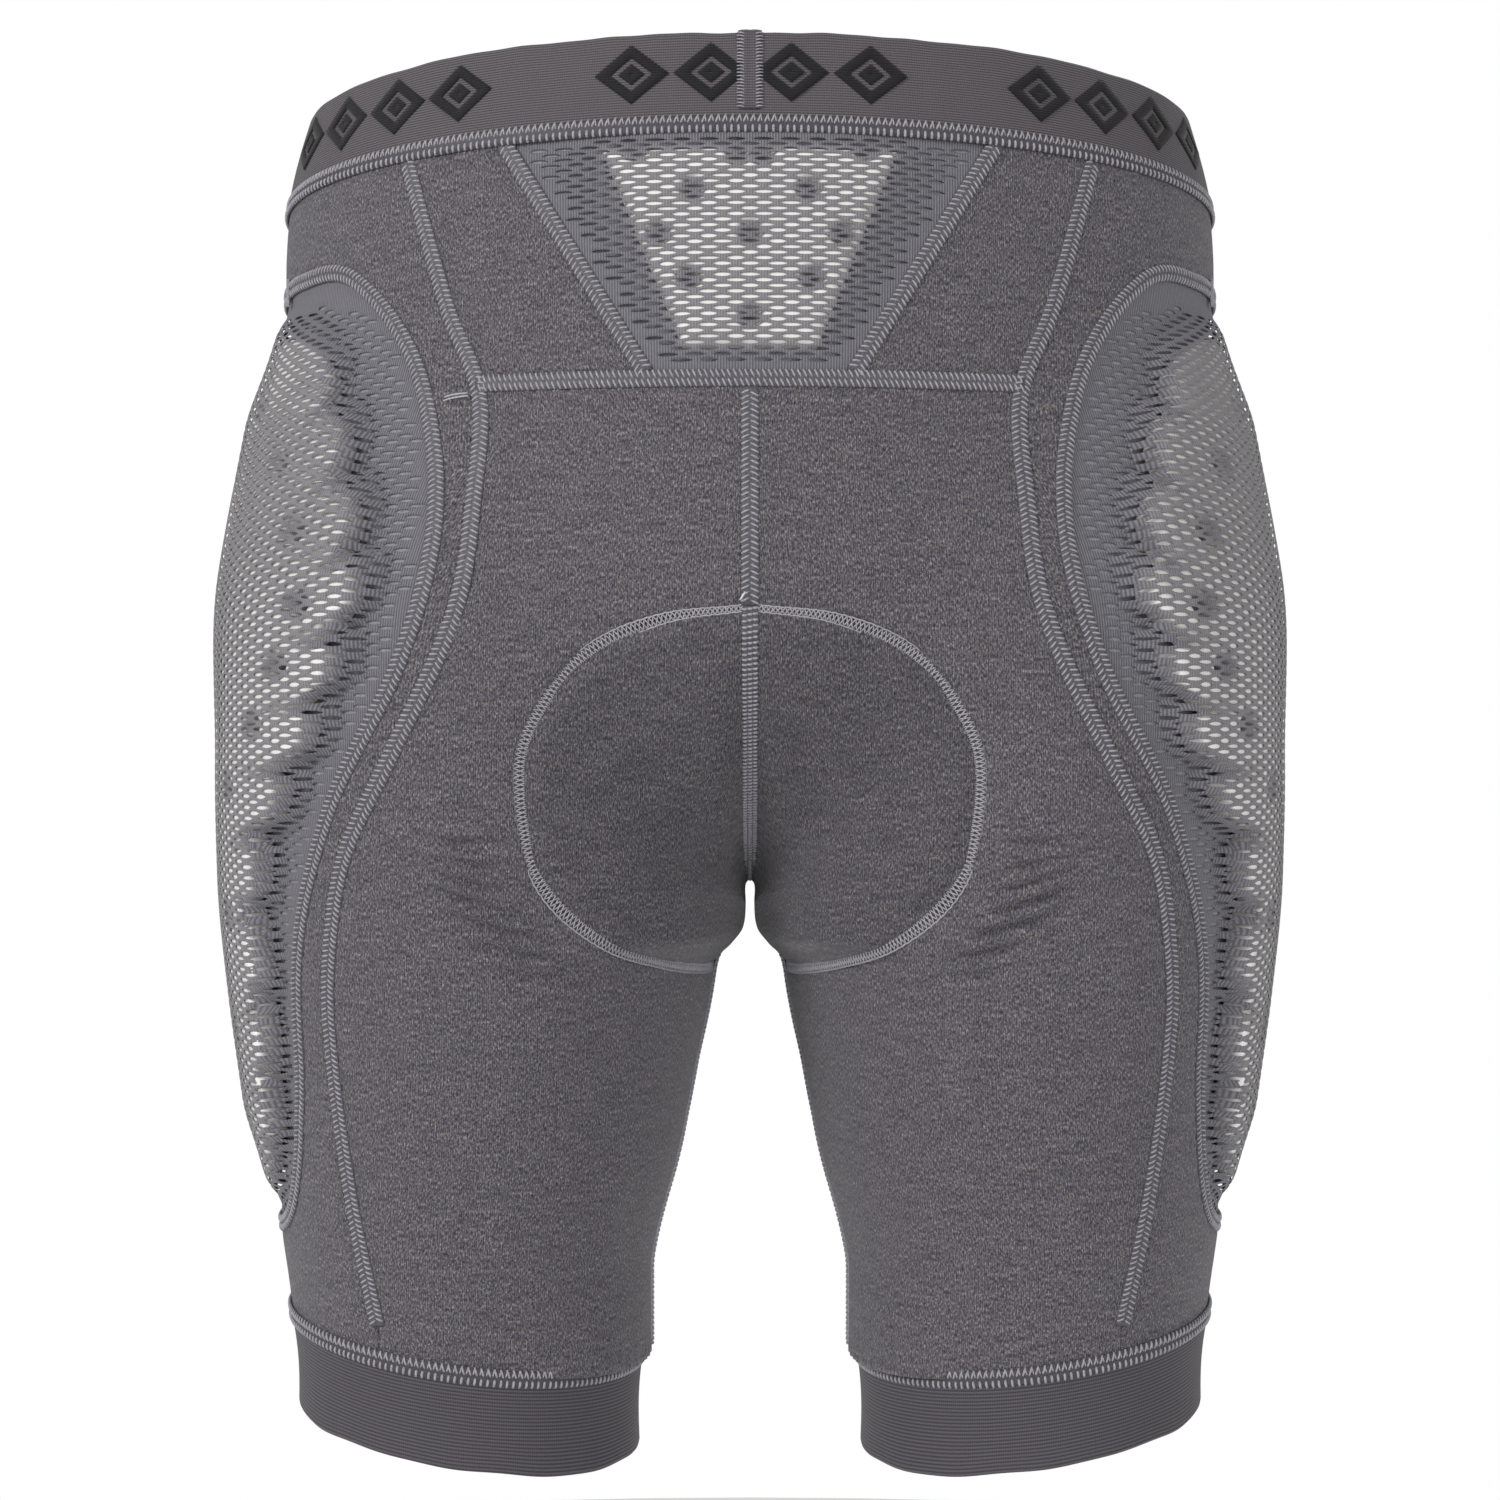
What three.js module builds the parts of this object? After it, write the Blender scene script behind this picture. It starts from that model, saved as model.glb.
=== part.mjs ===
// Padded impact shorts, shaped as if worn: heather jersey panels, open-mesh pockets over foam
// hip and tailbone pads, a seat pad, a wide elastic waistband, elastic hem bands, flat seams.
//
// Millimetres. +Z is up, +Y the wearer's front, +X the wearer's right. The origin is the middle
// of the waist opening, level with the waist seam at the sides.
import * as THREE from 'three';

// ---------------------------------------------------------------- driving dimensions
const FABRIC = 1.2;            // jersey and mesh thickness
const ELASTIC = 2.0;           // waistband and hem band thickness
const GAP = 0.3;               // clearance between touching pieces
const YOKE_Z = -71;            // height of the back yoke seam
const HEM_Z = -403;            // mean height of the hem seam
const HEM_OUT_TILT = 0.145;    // the hem seam rises this much per mm towards the outer side
const HEM_FRONT_TILT = 0.075;  // and this much per mm towards the front
const WAIST_TILT = 0.135;      // the waist seam falls this much per mm towards the front
const WAISTBAND_HEIGHT = 32;
const HEM_BAND_HEIGHT = 34;
const SEAM_WIDTH = 6;          // a flat seam, across its threads
const SEAM_THICK = 0.8;
const SEAM_LIFT = 2.3;         // a flat seam lies this far off the body surface
const BAND_LIFT = 2.6;         // and this far where it runs along an elastic band
const MIDDLE = 0.4;            // the panels stop this far from the middle plane
const BLEND = 24;              // radius over which the legs run into the seat
const POCKET_DEPTH = 11.6;     // the side mesh stands this far off the body over the hip pad
const HIP_PAD = [0.2, 10];     // inner and outer faces of the hip pad, off the body
const TAIL_PAD = [-0.7, 4];    // the same for the tailbone pad
const TAIL_SWELL = 4.8;        // the tailbone mesh stands this far off the body over its pad
const LINING_DROP = 1.5;       // the pocket linings lie this far inside the body surface
const SEAT_PAD = [-9.8, -3]; // inner and outer faces of the seat pad's foam
const SEAT_FACE = 1;           // thickness of the fabric on the seat pad's skin side
const GRIPPER_HEIGHT = 14;     // silicone strip inside the hem band

const REACH = 260;             // further than any point of the shape from its axes
const BACK = -1;
const FRONT = 1;
const { lerp, clamp, smoothstep } = THREE.MathUtils;
const radians = THREE.MathUtils.degToRad;
const degrees = THREE.MathUtils.radToDeg;

// ---------------------------------------------------------------- the worn shape
// A smooth curve through [height, value] pairs listed from the top down.
function profile(...pairs) {
  const slope = pairs.map((_, i) => {
    const above = pairs[Math.max(i - 1, 0)];
    const below = pairs[Math.min(i + 1, pairs.length - 1)];
    return (below[1] - above[1]) / (below[0] - above[0]);
  });
  return (z) => {
    if (z >= pairs[0][0]) return pairs[0][1];
    const i = pairs.findIndex((pair) => pair[0] < z);
    if (i < 0) return pairs.at(-1)[1];
    const [z0, v0] = pairs[i - 1];
    const [z1, v1] = pairs[i];
    const t = (z - z0) / (z1 - z0);
    const u = 1 - t;
    return v0 * (1 + 2 * t) * u * u + v1 * (3 - 2 * t) * t * t
      + (z1 - z0) * t * u * (slope[i - 1] * u - slope[i] * t);
  };
}

const hips = {
  width: profile([50, 153], [0, 166], [-60, 167], [-110, 170], [-160, 175], [-240, 181]),
  back: profile([50, 103], [0, 110], [-70, 120], [-140, 127], [-200, 122], [-250, 112]),
  front: profile([50, 97], [0, 103], [-80, 108], [-150, 106], [-210, 100], [-250, 95]),
  roundTop: -130,              // below this the seat rounds off
  roundDepth: 105,             // and closes this much further down
};
const leg = {
  axis: profile([-100, 92], [-170, 95], [-237, 96], [-278, 95.5], [-328, 98], [-372, 102],
    [-450, 101.5]),
  width: profile([0, 40], [-100, 76], [-170, 86], [-237, 86], [-278, 83], [-328, 74], [-372, 66],
    [-400, 62], [-450, 59]),
  back: profile([0, 40], [-100, 95], [-150, 112], [-200, 112], [-237, 106], [-300, 91],
    [-372, 72], [-400, 66], [-450, 62]),
  front: profile([0, 40], [-100, 85], [-150, 95], [-237, 92], [-300, 86], [-372, 71],
    [-400, 66], [-450, 62]),
};

// Roughly the distance outside an oval whose back and front halves differ in depth. The third
// coordinate is already a share of the oval's own height.
function oval(x, y, drop, width, back, front) {
  const deep = y < 0 ? back : front;
  return (Math.hypot(x / width, y / deep, drop) - 1) * Math.min(width, deep);
}

// Roughly the distance outside the worn shape, negative inside it.
function outside(x, y, z) {
  const drop = Math.max(0, (hips.roundTop - z) / hips.roundDepth);
  const seat = oval(x, y, drop, hips.width(z), hips.back(z), hips.front(z));
  const thigh = oval(Math.abs(x) - leg.axis(z), y, 0, leg.width(z), leg.back(z), leg.front(z));
  const near = Math.max(BLEND - Math.abs(seat - thigh), 0) / BLEND;
  return Math.min(seat, thigh) - near * near * BLEND / 4;
}

// The distance at which a test turns from negative to positive.
function crossing(test, far = REACH) {
  let low = 0;
  let high = far;
  for (let i = 0; i < 36; i++) {
    const middle = (low + high) / 2;
    if (test(middle) < 0) low = middle;
    else high = middle;
  }
  return (low + high) / 2;
}

// A point on the worn shape, moved out along the shape's normal.
function lift({ x, y, z }, offset) {
  const step = 0.5;
  const normal = new THREE.Vector3(
    outside(x + step, y, z) - outside(x - step, y, z),
    outside(x, y + step, z) - outside(x, y - step, z),
    outside(x, y, z + step) - outside(x, y, z - step),
  ).normalize();
  return new THREE.Vector3(x, y, z).addScaledVector(normal, offset);
}

// The shape's point at a height, in a direction from the middle of the body. Direction 0 is the
// outer side, minus a quarter turn the back and a quarter turn the front.
function aboutMiddle(angle, z) {
  const [c, s] = [Math.cos(angle), Math.sin(angle)];
  const r = crossing((d) => outside(d * c, d * s, z));
  return { x: r * c, y: r * s, z };
}

// The same from the right leg's axis, never crossing the body's middle plane.
function aboutLeg(angle, z) {
  const [c, s] = [Math.cos(angle), Math.sin(angle)];
  const axis = leg.axis(z);
  const far = c < 0 ? Math.min(REACH, (axis - MIDDLE) / -c) : REACH;
  const r = crossing((d) => outside(axis + d * c, d * s, z), far);
  return { x: axis + r * c, y: r * s, z };
}

// The shape's point at a width and height, at the back or front.
function facing(side, x, z) {
  return { x, y: side * crossing((d) => outside(x, side * d, z)), z };
}

// The direction from the leg's axis to that point, or to the inner leg where there is none.
function directionAt(side, x, z) {
  if (outside(x, 0, z) >= 0) return side * Math.PI;
  return Math.atan2(facing(side, x, z).y, x - leg.axis(z));
}

const crotch = Math.min(...[-20, -10, 0, 5, 10, 15, 20].map((y) => (
  -crossing((d) => outside(MIDDLE, y, -d), 400))));

// ---------------------------------------------------------------- seam lines
// The bands meet the body on tilted planes, solved for the height in a given direction.
const onPlane = (level) => (angle) => {
  let z = HEM_Z / 2;
  for (let i = 0; i < 12; i++) z = level(aboutLeg(angle, z));
  return z;
};
const waistLevel = (p) => -WAIST_TILT * p.y;
const hemLevel = (p) => HEM_Z + HEM_OUT_TILT * (p.x - leg.axis(HEM_Z)) + HEM_FRONT_TILT * p.y;
const waistAt = onPlane(waistLevel);
const hemAt = onPlane(hemLevel);

// Seams that run down the body, as half-widths at a height.
const backSeamX = profile([10, 117], [-45, 101], [-74, 90], [-107, 91], [-147, 97], [-197, 120],
  [-227, 135], [-254, 141], [-285, 143], [-345, 137], [-394, 128]);
const frontSeamX = profile([-15, 106], [-60, 98], [-120, 96], [-180, 114], [-230, 134],
  [-280, 144], [-340, 140], [-400, 132]);
const tailSeamX = profile([15, 85], [YOKE_Z, 33]);
const tailPadX = profile([11, 51], [-61, 22]);

// Outlines on the right half of the body, as [direction in degrees, height].
const MESH_OUTLINE = [[-32, -28], [-57, -31], [-77, -62], [-84, -115], [-79, -165], [-64, -215],
  [-50, -267], [-44, -315], [-31, -356], [0, -363], [26, -354], [40, -300], [52, -240],
  [64, -180], [68, -120], [60, -65], [40, -36], [0, -32]];
const PAD_OUTLINE = [[-36, -50], [-57, -68], [-69, -114], [-72, -141], [-62, -190], [-44, -237],
  [-37, -300], [-28, -338], [0, -349], [22, -338], [28, -300], [36, -240], [48, -190],
  [53, -141], [51, -100], [40, -64], [20, -50], [0, -48]];
const SEAT_BACK = [[-125, -147], [-118, -150], [-110, -160], [-104, -176], [-100, -200],
  [-104, -236], [-117, -257], [-136, -266], [-158, -270], [-180, -271]];
const SEAT_FRONT = [[-180, -271], [-204, -262], [-220, -245], [-231, -218], [-237, -185],
  [-236, -162], [-231, -150]];

// ---------------------------------------------------------------- solids from grids
// A closed slab from a grid of [outer point, inner point] pairs. A loop joins its last column
// to its first. A hub is one more pair, which closes the first row of a loop.
function slab(grid, { loop = false, hub = null } = {}) {
  const rows = grid.length;
  const columns = grid[0].length;
  const points = hub ? [...grid.flat(), hub] : grid.flat();
  const outer = (i, j) => 2 * (i * columns + (j % columns));
  const middle = 2 * rows * columns;
  const index = [];
  const quad = (a, b, c, d) => index.push(a, b, c, a, c, d);
  for (let j = 0; j < (loop ? columns : columns - 1); j++) {
    for (let i = 0; i < rows - 1; i++) {
      const [a, b] = [outer(i, j), outer(i, j + 1)];
      const [c, d] = [outer(i + 1, j + 1), outer(i + 1, j)];
      quad(a, b, c, d);
      quad(a + 1, d + 1, c + 1, b + 1);
    }
    const [a, b] = [outer(0, j), outer(0, j + 1)];
    const [c, d] = [outer(rows - 1, j), outer(rows - 1, j + 1)];
    if (hub) index.push(middle, b, a, middle + 1, a + 1, b + 1);
    else quad(b, a, a + 1, b + 1);
    quad(d, d + 1, c + 1, c);
  }
  for (let i = 0; i < rows - 1 && !loop; i++) {
    const [a, b] = [outer(i, 0), outer(i + 1, 0)];
    const [c, d] = [outer(i, columns - 1), outer(i + 1, columns - 1)];
    quad(a, b, b + 1, a + 1);
    quad(d, c, c + 1, d + 1);
  }
  return facingOut(points.flat().flatMap((p) => [p.x, p.y, p.z]), index);
}

// A geometry whose triangles are all turned round if they enclose a negative volume.
function facingOut(position, index) {
  const corner = (k) => new THREE.Vector3().fromArray(position, 3 * index[k]);
  let volume = 0;
  for (let i = 0; i < index.length; i += 3) {
    volume += corner(i).dot(corner(i + 1).cross(corner(i + 2)));
  }
  const geometry = new THREE.BufferGeometry();
  geometry.setAttribute('position', new THREE.Float32BufferAttribute(position, 3));
  geometry.setIndex(volume < 0 ? index.reverse() : index);
  geometry.computeVertexNormals();
  return geometry;
}

function mirrored(geometry) {
  const position = [...geometry.attributes.position.array].map((v, i) => (i % 3 ? v : -v));
  return facingOut(position, [...geometry.index.array]);
}

const shares = (n) => Array.from({ length: n + 1 }, (_, i) => i / n);
const faces = (point, low, high) => [lift(point, high), lift(point, low)];

// ---------------------------------------------------------------- panels
// Rows of the panels: shares of the way from the waist to the yoke level, from there to the
// crotch, and on to the hem. They crowd together at the crotch, where the shape turns.
const YOKE_SHARES = shares(3);
const SEAT_SHARES = shares(6).map((t) => 1 - (1 - t) ** 2);
const LEG_SHARES = shares(6).map((t) => t * t).slice(1);
const yokeRow = (t, below = 0) => (angle) => lerp(waistAt(angle) - GAP / 2, YOKE_Z + below, t);
const rowsBelow = (top) => [
  ...SEAT_SHARES.map((t) => () => lerp(top, crotch, t)),
  ...LEG_SHARES.map((t) => (angle) => lerp(crotch, hemAt(angle) + GAP, t)),
];

// A height and direction that satisfy both a row and an edge.
function meeting(row, edge) {
  let z = row(0);
  for (let i = 0; i < 5; i++) z = row(edge(z));
  return [edge(z), z];
}

// A sheet over the right half of the body between two seams.
function sheet(rows, columns, from, to) {
  return slab(rows.map((row) => shares(columns).map((s) => {
    const [angle, z] = meeting(row, (height) => lerp(from(height), to(height), s));
    return faces(aboutLeg(angle, z), 0, FABRIC).map((p) => p.setX(Math.max(p.x, GAP)));
  })));
}

// Edges of the panels as directions, kept apart by half the clearance.
const aside = (z, distance) => distance / leg.width(Math.min(z, -100));
const backSeam = (distance) => (z) => directionAt(BACK, backSeamX(z), z) + aside(z, distance);
const frontSeam = (distance) => (z) => directionAt(FRONT, frontSeamX(z), z) + aside(z, distance);
const middleSeam = (side) => (z) => directionAt(side, MIDDLE, z) - side * aside(z, MIDDLE);

const backPanel = () => sheet(rowsBelow(YOKE_Z - GAP / 2), 7, middleSeam(BACK),
  backSeam(-GAP / 2));
const backYoke = () => sheet(YOKE_SHARES.map((t) => yokeRow(t, GAP / 2)), 3,
  (z) => directionAt(BACK, tailSeamX(z) + GAP, z), backSeam(-GAP / 2));
const frontPanel = () => sheet([...YOKE_SHARES.slice(0, -1).map((t) => yokeRow(t)),
  ...rowsBelow(YOKE_Z)], 7, middleSeam(FRONT), frontSeam(GAP / 2));

// ---------------------------------------------------------------- the tailbone pocket
// A tapering piece across the middle of the back between two heights. Its faces depend on how
// far a point is from the piece's edge.
function tailPiece(halfWidth, top, bottom, low, high) {
  const height = top(facing(BACK, 0, 0)) - bottom;
  return slab(shares(6).map((t) => shares(8).map((s) => {
    let x = 0;
    let z = bottom;
    for (let i = 0; i < 6; i++) {
      z = lerp(top(facing(BACK, x, z)), bottom, t);
      x = lerp(-1, 1, s) * halfWidth(z);
    }
    const margin = Math.min(t * height, (1 - t) * height, halfWidth(z) - Math.abs(x));
    return faces(facing(BACK, x, z), low(margin), high(margin));
  })));
}
const tailTop = (margin) => (p) => waistLevel(p) - GAP / 2 - margin;
const tailRise = (margin) => TAIL_SWELL * smoothstep(margin, 6, 15);
const tailMesh = () => tailPiece(tailSeamX, tailTop(0), YOKE_Z + GAP / 2, tailRise,
  (margin) => tailRise(margin) + FABRIC);
const tailLining = () => tailPiece((z) => tailSeamX(z) - 2, tailTop(2), YOKE_Z + 2,
  () => -LINING_DROP - FABRIC, () => -LINING_DROP);
const tailPad = () => tailPiece(tailPadX, tailTop(8), YOKE_Z + 10, () => TAIL_PAD[0],
  (margin) => lerp(0.4, TAIL_PAD[1], smoothstep(margin, 0, 8)));

// ---------------------------------------------------------------- the hip pockets
// The pocket is drawn about its own centre, in units of about 100 mm each way.
const POCKET_CENTRE = [-2, -190];
const POCKET_UNIT = [62, 100];  // degrees and millimetres
const MM = 1 / 100;

const unitPoint = ([angle, z]) => new THREE.Vector3(
  (angle - POCKET_CENTRE[0]) / POCKET_UNIT[0],
  (z - POCKET_CENTRE[1]) / POCKET_UNIT[1],
  0,
);
const pocketPoint = (polar, radius) => aboutLeg(
  radians(POCKET_CENTRE[0] + POCKET_UNIT[0] * radius * Math.cos(polar)),
  POCKET_CENTRE[1] + POCKET_UNIT[1] * radius * Math.sin(polar),
);

// The radius of an outline in each direction about the pocket's centre.
function radiusOf(outline) {
  const points = new THREE.CatmullRomCurve3(outline.map(unitPoint), true).getPoints(900);
  const samples = points.map((p) => [Math.atan2(p.y, p.x), Math.hypot(p.x, p.y)]);
  samples.sort((a, b) => a[0] - b[0]);
  return (polar) => (samples.find((sample) => sample[0] >= polar) ?? samples[0])[1];
}
const meshRadius = radiusOf(MESH_OUTLINE);
const padRadius = radiusOf(PAD_OUTLINE);

// The outer edge of the side panel, once round: down the back seam, forward along the hem, up
// the front seam and back along the waist.
function sidePanelEdge() {
  const rows = [...YOKE_SHARES.slice(0, -1).map((t) => yokeRow(t)), ...rowsBelow(YOKE_Z)];
  const back = rows.map((row) => meeting(row, backSeam(GAP / 2)));
  const front = rows.map((row) => meeting(row, frontSeam(-GAP / 2))).reverse();
  const between = (a, b, level) => shares(6).slice(1, -1).map((t) => {
    const angle = lerp(a[0], b[0], t);
    return [angle, level(angle)];
  });
  const hem = between(back.at(-1), front[0], (angle) => hemAt(angle) + GAP);
  const waist = between(front.at(-1), back[0], (angle) => waistAt(angle) - GAP / 2);
  return [...back, ...hem, ...front, ...waist];
}
const SIDE_EDGE = sidePanelEdge();
const RAYS = SIDE_EDGE.map(([angle, z]) => {
  const p = unitPoint([degrees(angle), z]);
  return Math.atan2(p.y, p.x);
});

// Jersey all round the pocket, from the seams to the mesh.
function sidePanel() {
  const inner = RAYS.map((polar) => pocketPoint(polar, meshRadius(polar) + GAP * MM));
  return slab([0, 0.35, 0.7, 1].map((t) => SIDE_EDGE.map(([angle, z], j) => {
    const inside = degrees(Math.atan2(inner[j].y, inner[j].x - leg.axis(inner[j].z)));
    const at = aboutLeg(lerp(radians(inside), angle, t), lerp(inner[j].z, z, t));
    return faces(at, 0, FABRIC);
  })), { loop: true });
}

// A piece of the pocket, made of rings from the rim to the middle. A ring is [its radius in a
// direction, inner face, outer face]; all three layers share the rings over the pad.
function pocketPiece(rings) {
  const pair = (polar, [radius, low, high]) => faces(pocketPoint(polar, radius(polar)), low, high);
  const [, low, high] = rings.at(-1);
  return slab([...rings].reverse().map((ring) => RAYS.map((polar) => pair(polar, ring))),
    { loop: true, hub: pair(0, [() => 0, low, high]) });
}
const inMesh = (margin) => (polar) => meshRadius(polar) - margin * MM;
const inPad = (margin) => (polar) => padRadius(polar) - margin * MM;
const ofPad = (share) => (polar) => padRadius(polar) * share;
const overRim = (polar) => lerp(inPad(0)(polar), inMesh(5)(polar), 0.45);
const overPad = (low, high) => [[inPad(6), low, high], [ofPad(0.7), low, high],
  [ofPad(0.35), low, high]];

const sideMesh = () => pocketPiece([
  [inMesh(GAP), 0, FABRIC],
  [inMesh(5), 0, FABRIC],
  [overRim, 0.8 * POCKET_DEPTH, 0.8 * POCKET_DEPTH + FABRIC],
  ...overPad(POCKET_DEPTH, POCKET_DEPTH + FABRIC),
]);
const pocketLining = () => pocketPiece([
  [inMesh(2), -LINING_DROP - FABRIC, -LINING_DROP],
  ...overPad(-LINING_DROP - FABRIC, -LINING_DROP),
]);
const hipPad = () => pocketPiece([[inPad(0), HIP_PAD[0], 5], ...overPad(...HIP_PAD)]);

// ---------------------------------------------------------------- the seat pad
// The pad's rim on the right half: down the back to the inner leg, then up the front.
const curveOf = (outline) => new THREE.CatmullRomCurve3(outline.map(([angle, z]) => (
  new THREE.Vector3(radians(angle), z, 0))));
const seatBack = curveOf(SEAT_BACK);
const seatFront = curveOf(SEAT_FRONT);
const seatRim = (t) => (t < 0.5 ? seatBack.getPoint(2 * t) : seatFront.getPoint(2 * t - 1));

// Rows run from the back of the pad through the crotch to its front. Each crosses the middle
// plane, so the columns on the left are the right ones mirrored.
function seatPad([low, high], inset) {
  const top = SEAT_BACK[0][1] - inset;
  return slab(shares(14).map((t) => {
    const side = t < 0.5 ? BACK : FRONT;
    const edge = seatRim(t);
    const z = lerp(crotch + 1, top, Math.abs(2 * t - 1) ** 1.6);
    const middle = facing(side, 0, z);
    const turned = Math.atan2(middle.y, -leg.axis(z)) - (side === FRONT ? 2 * Math.PI : 0);
    const half = shares(4).slice(1).map((s) => aboutLeg(lerp(turned, edge.x, s),
      lerp(z, Math.min(edge.y + inset, top), s)));
    const left = half.map((p) => ({ ...p, x: -p.x })).reverse();
    return [...left, middle, ...half].map((p) => faces(p, low, high));
  }));
}
const seatFoam = () => seatPad(SEAT_PAD, 4);
const seatFace = () => seatPad([SEAT_PAD[0] - GAP - SEAT_FACE, SEAT_PAD[0] - GAP], 4);

// ---------------------------------------------------------------- bands
const turns = (n) => shares(n).slice(1).map((s) => 2 * Math.PI * s);

function waistRing(up) {
  return turns(36).map((angle) => {
    let z = up;
    for (let i = 0; i < 6; i++) z = up + waistLevel(aboutMiddle(angle, z));
    return aboutMiddle(angle, z);
  });
}
function waistband() {
  const rings = [waistRing(GAP / 2), waistRing(WAISTBAND_HEIGHT)];
  return slab(rings.map((ring) => ring.map((p) => faces(p, 0, ELASTIC))), { loop: true });
}
function waistbandJoin() {
  const heights = shares(3).map((t) => lerp(SEAM_WIDTH, WAISTBAND_HEIGHT, t));
  const join = heights.map((up) => {
    let z = up;
    for (let i = 0; i < 6; i++) z = up + waistLevel(facing(BACK, 0, z));
    return facing(BACK, 0, z);
  });
  return strip(join, { low: BAND_LIFT });
}

const hemRing = (down) => turns(24).map((angle) => aboutLeg(angle, hemAt(angle) - down));
const hemPiece = (from, to, low, high) => slab([from, to].map((down) => hemRing(down)
  .map((p) => faces(p, low, high))), { loop: true });
const hemBand = () => hemPiece(GAP / 2, HEM_BAND_HEIGHT, 0, ELASTIC);
const hemGripper = () => hemPiece(HEM_BAND_HEIGHT - 6 - GRIPPER_HEIGHT, HEM_BAND_HEIGHT - 6,
  -1 - GAP, -GAP);

// ---------------------------------------------------------------- seams
// A flat row of threads along points of the shape.
function strip(points, { low = SEAM_LIFT, width = SEAM_WIDTH, loop = false } = {}) {
  const n = points.length;
  const near = (i) => points[loop ? (i + n) % n : clamp(i, 0, n - 1)];
  const across = points.map((point, i) => {
    const base = lift(point, low);
    const out = lift(point, low + 1).sub(base);
    const along = lift(near(i + 1), low).sub(lift(near(i - 1), low));
    return { base, out, side: along.cross(out).setLength(width / 2) };
  });
  return slab([-1, 1].map((s) => across.map(({ base, out, side }) => {
    const foot = base.clone().addScaledVector(side, s);
    return [foot.clone().addScaledVector(out, SEAM_THICK), foot];
  })), { loop });
}

// Points down the back or front at half-widths given by a profile.
const downSeam = (side, x, top, bottom, steps) => shares(steps).map((t) => {
  const z = lerp(top, bottom, t);
  return facing(side, x(z), z);
});
const CLEAR = SEAM_WIDTH / 2 + 5 * GAP;   // from a seam line to the end of one that meets it
const waistZ = (side, x) => waistLevel(facing(side, x, 0)) - CLEAR;

function longSeam(side, x) {
  const top = waistZ(side, x(0));
  const bottom = hemAt(directionAt(side, x(HEM_Z), HEM_Z)) + CLEAR;
  return strip(downSeam(side, x, top, bottom, 16));
}
const centreSeam = (side, top) => strip(downSeam(side, () => 0, top, crotch + 18, 9));
const tailSeam = () => strip(downSeam(BACK, tailSeamX, waistZ(BACK, tailSeamX(15)),
  YOKE_Z + CLEAR, 5));

function yokeSeam() {
  const reach = backSeamX(YOKE_Z) - CLEAR - 1;
  return strip(shares(16).map((t) => facing(BACK, lerp(-reach, reach, t), YOKE_Z)));
}
function inseam() {
  const start = crotch - 18;
  return strip(shares(8).map((t) => {
    const z = lerp(start, hemAt(Math.PI) + CLEAR, t);
    return aboutLeg(Math.PI, z);
  }), { low: SEAM_LIFT + SEAM_THICK });
}
const meshSeam = () => strip(RAYS.map((polar) => pocketPoint(polar, meshRadius(polar))),
  { loop: true });
function seatSeam() {
  const points = shares(28).map((t) => seatRim(t)).map((p) => aboutLeg(p.x, p.y));
  return strip(points, { low: SEAM_LIFT + 2 * (SEAM_THICK + GAP) });
}
const waistSeam = () => strip(waistRing(0), { low: BAND_LIFT, loop: true });
const hemSeam = () => strip(hemRing(0), { low: BAND_LIFT, loop: true });

// The bar tack at the back end of the pocket's opening.
function pocketTack() {
  const [angle, z] = [radians(-20), -30];
  const ends = [aboutLeg(angle, z + 5), aboutLeg(angle, z - 5)];
  return strip(ends, { low: SEAM_LIFT + SEAM_THICK + GAP, width: 2.5 });
}

// ---------------------------------------------------------------- the assembly
const cloth = (color, roughness = 0.9) => new THREE.MeshStandardMaterial({
  color, roughness, metalness: 0 });
const jersey = () => cloth(0x605e61);
const mesh = () => cloth(0x6d6d76, 0.8);
const elastic = () => cloth(0x5b5755, 0.85);
const foam = () => cloth(0xd8d6d3, 0.7);
const thread = () => cloth(0x7b7c84, 0.75);
const lining = () => cloth(0x47474c);
const silicone = () => cloth(0x2b2b2d, 0.45);

const shorts = new THREE.Group();
function add(name, geometry, material) {
  const piece = new THREE.Mesh(geometry, material);
  piece.name = name;
  shorts.add(piece);
}
// The right piece as built, and its mirror image for the left.
function addPair(name, build, material) {
  const geometry = build();
  add(`${name}_right`, geometry, material);
  add(`${name}_left`, mirrored(geometry), material);
}

add('waistband', waistband(), elastic());
add('waistband_join', waistbandJoin(), elastic());
add('tailbone_mesh', tailMesh(), mesh());
add('tailbone_pad', tailPad(), foam());
add('tailbone_lining', tailLining(), lining());
add('seat_pad_foam', seatFoam(), foam());
add('seat_pad_face', seatFace(), lining());
addPair('back_yoke', backYoke, jersey());
addPair('back_panel', backPanel, jersey());
addPair('front_panel', frontPanel, jersey());
addPair('side_panel', sidePanel, jersey());
addPair('side_mesh', sideMesh, mesh());
addPair('hip_pad', hipPad, foam());
addPair('pocket_lining', pocketLining, lining());
addPair('hem_band', hemBand, elastic());
addPair('hem_gripper', hemGripper, silicone());

add('waist_seam', waistSeam(), thread());
add('yoke_seam', yokeSeam(), thread());
add('centre_back_seam', centreSeam(BACK, YOKE_Z - CLEAR), thread());
add('centre_front_seam', centreSeam(FRONT, waistZ(FRONT, 0)), thread());
addPair('tail_seam', tailSeam, thread());
addPair('back_seam', () => longSeam(BACK, backSeamX), thread());
addPair('front_seam', () => longSeam(FRONT, frontSeamX), thread());
addPair('mesh_seam', meshSeam, thread());
addPair('seat_pad_seam', seatSeam, thread());
addPair('inseam', inseam, thread());
addPair('hem_seam', hemSeam, thread());
addPair('pocket_tack', pocketTack, thread());

export default shorts;
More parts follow.
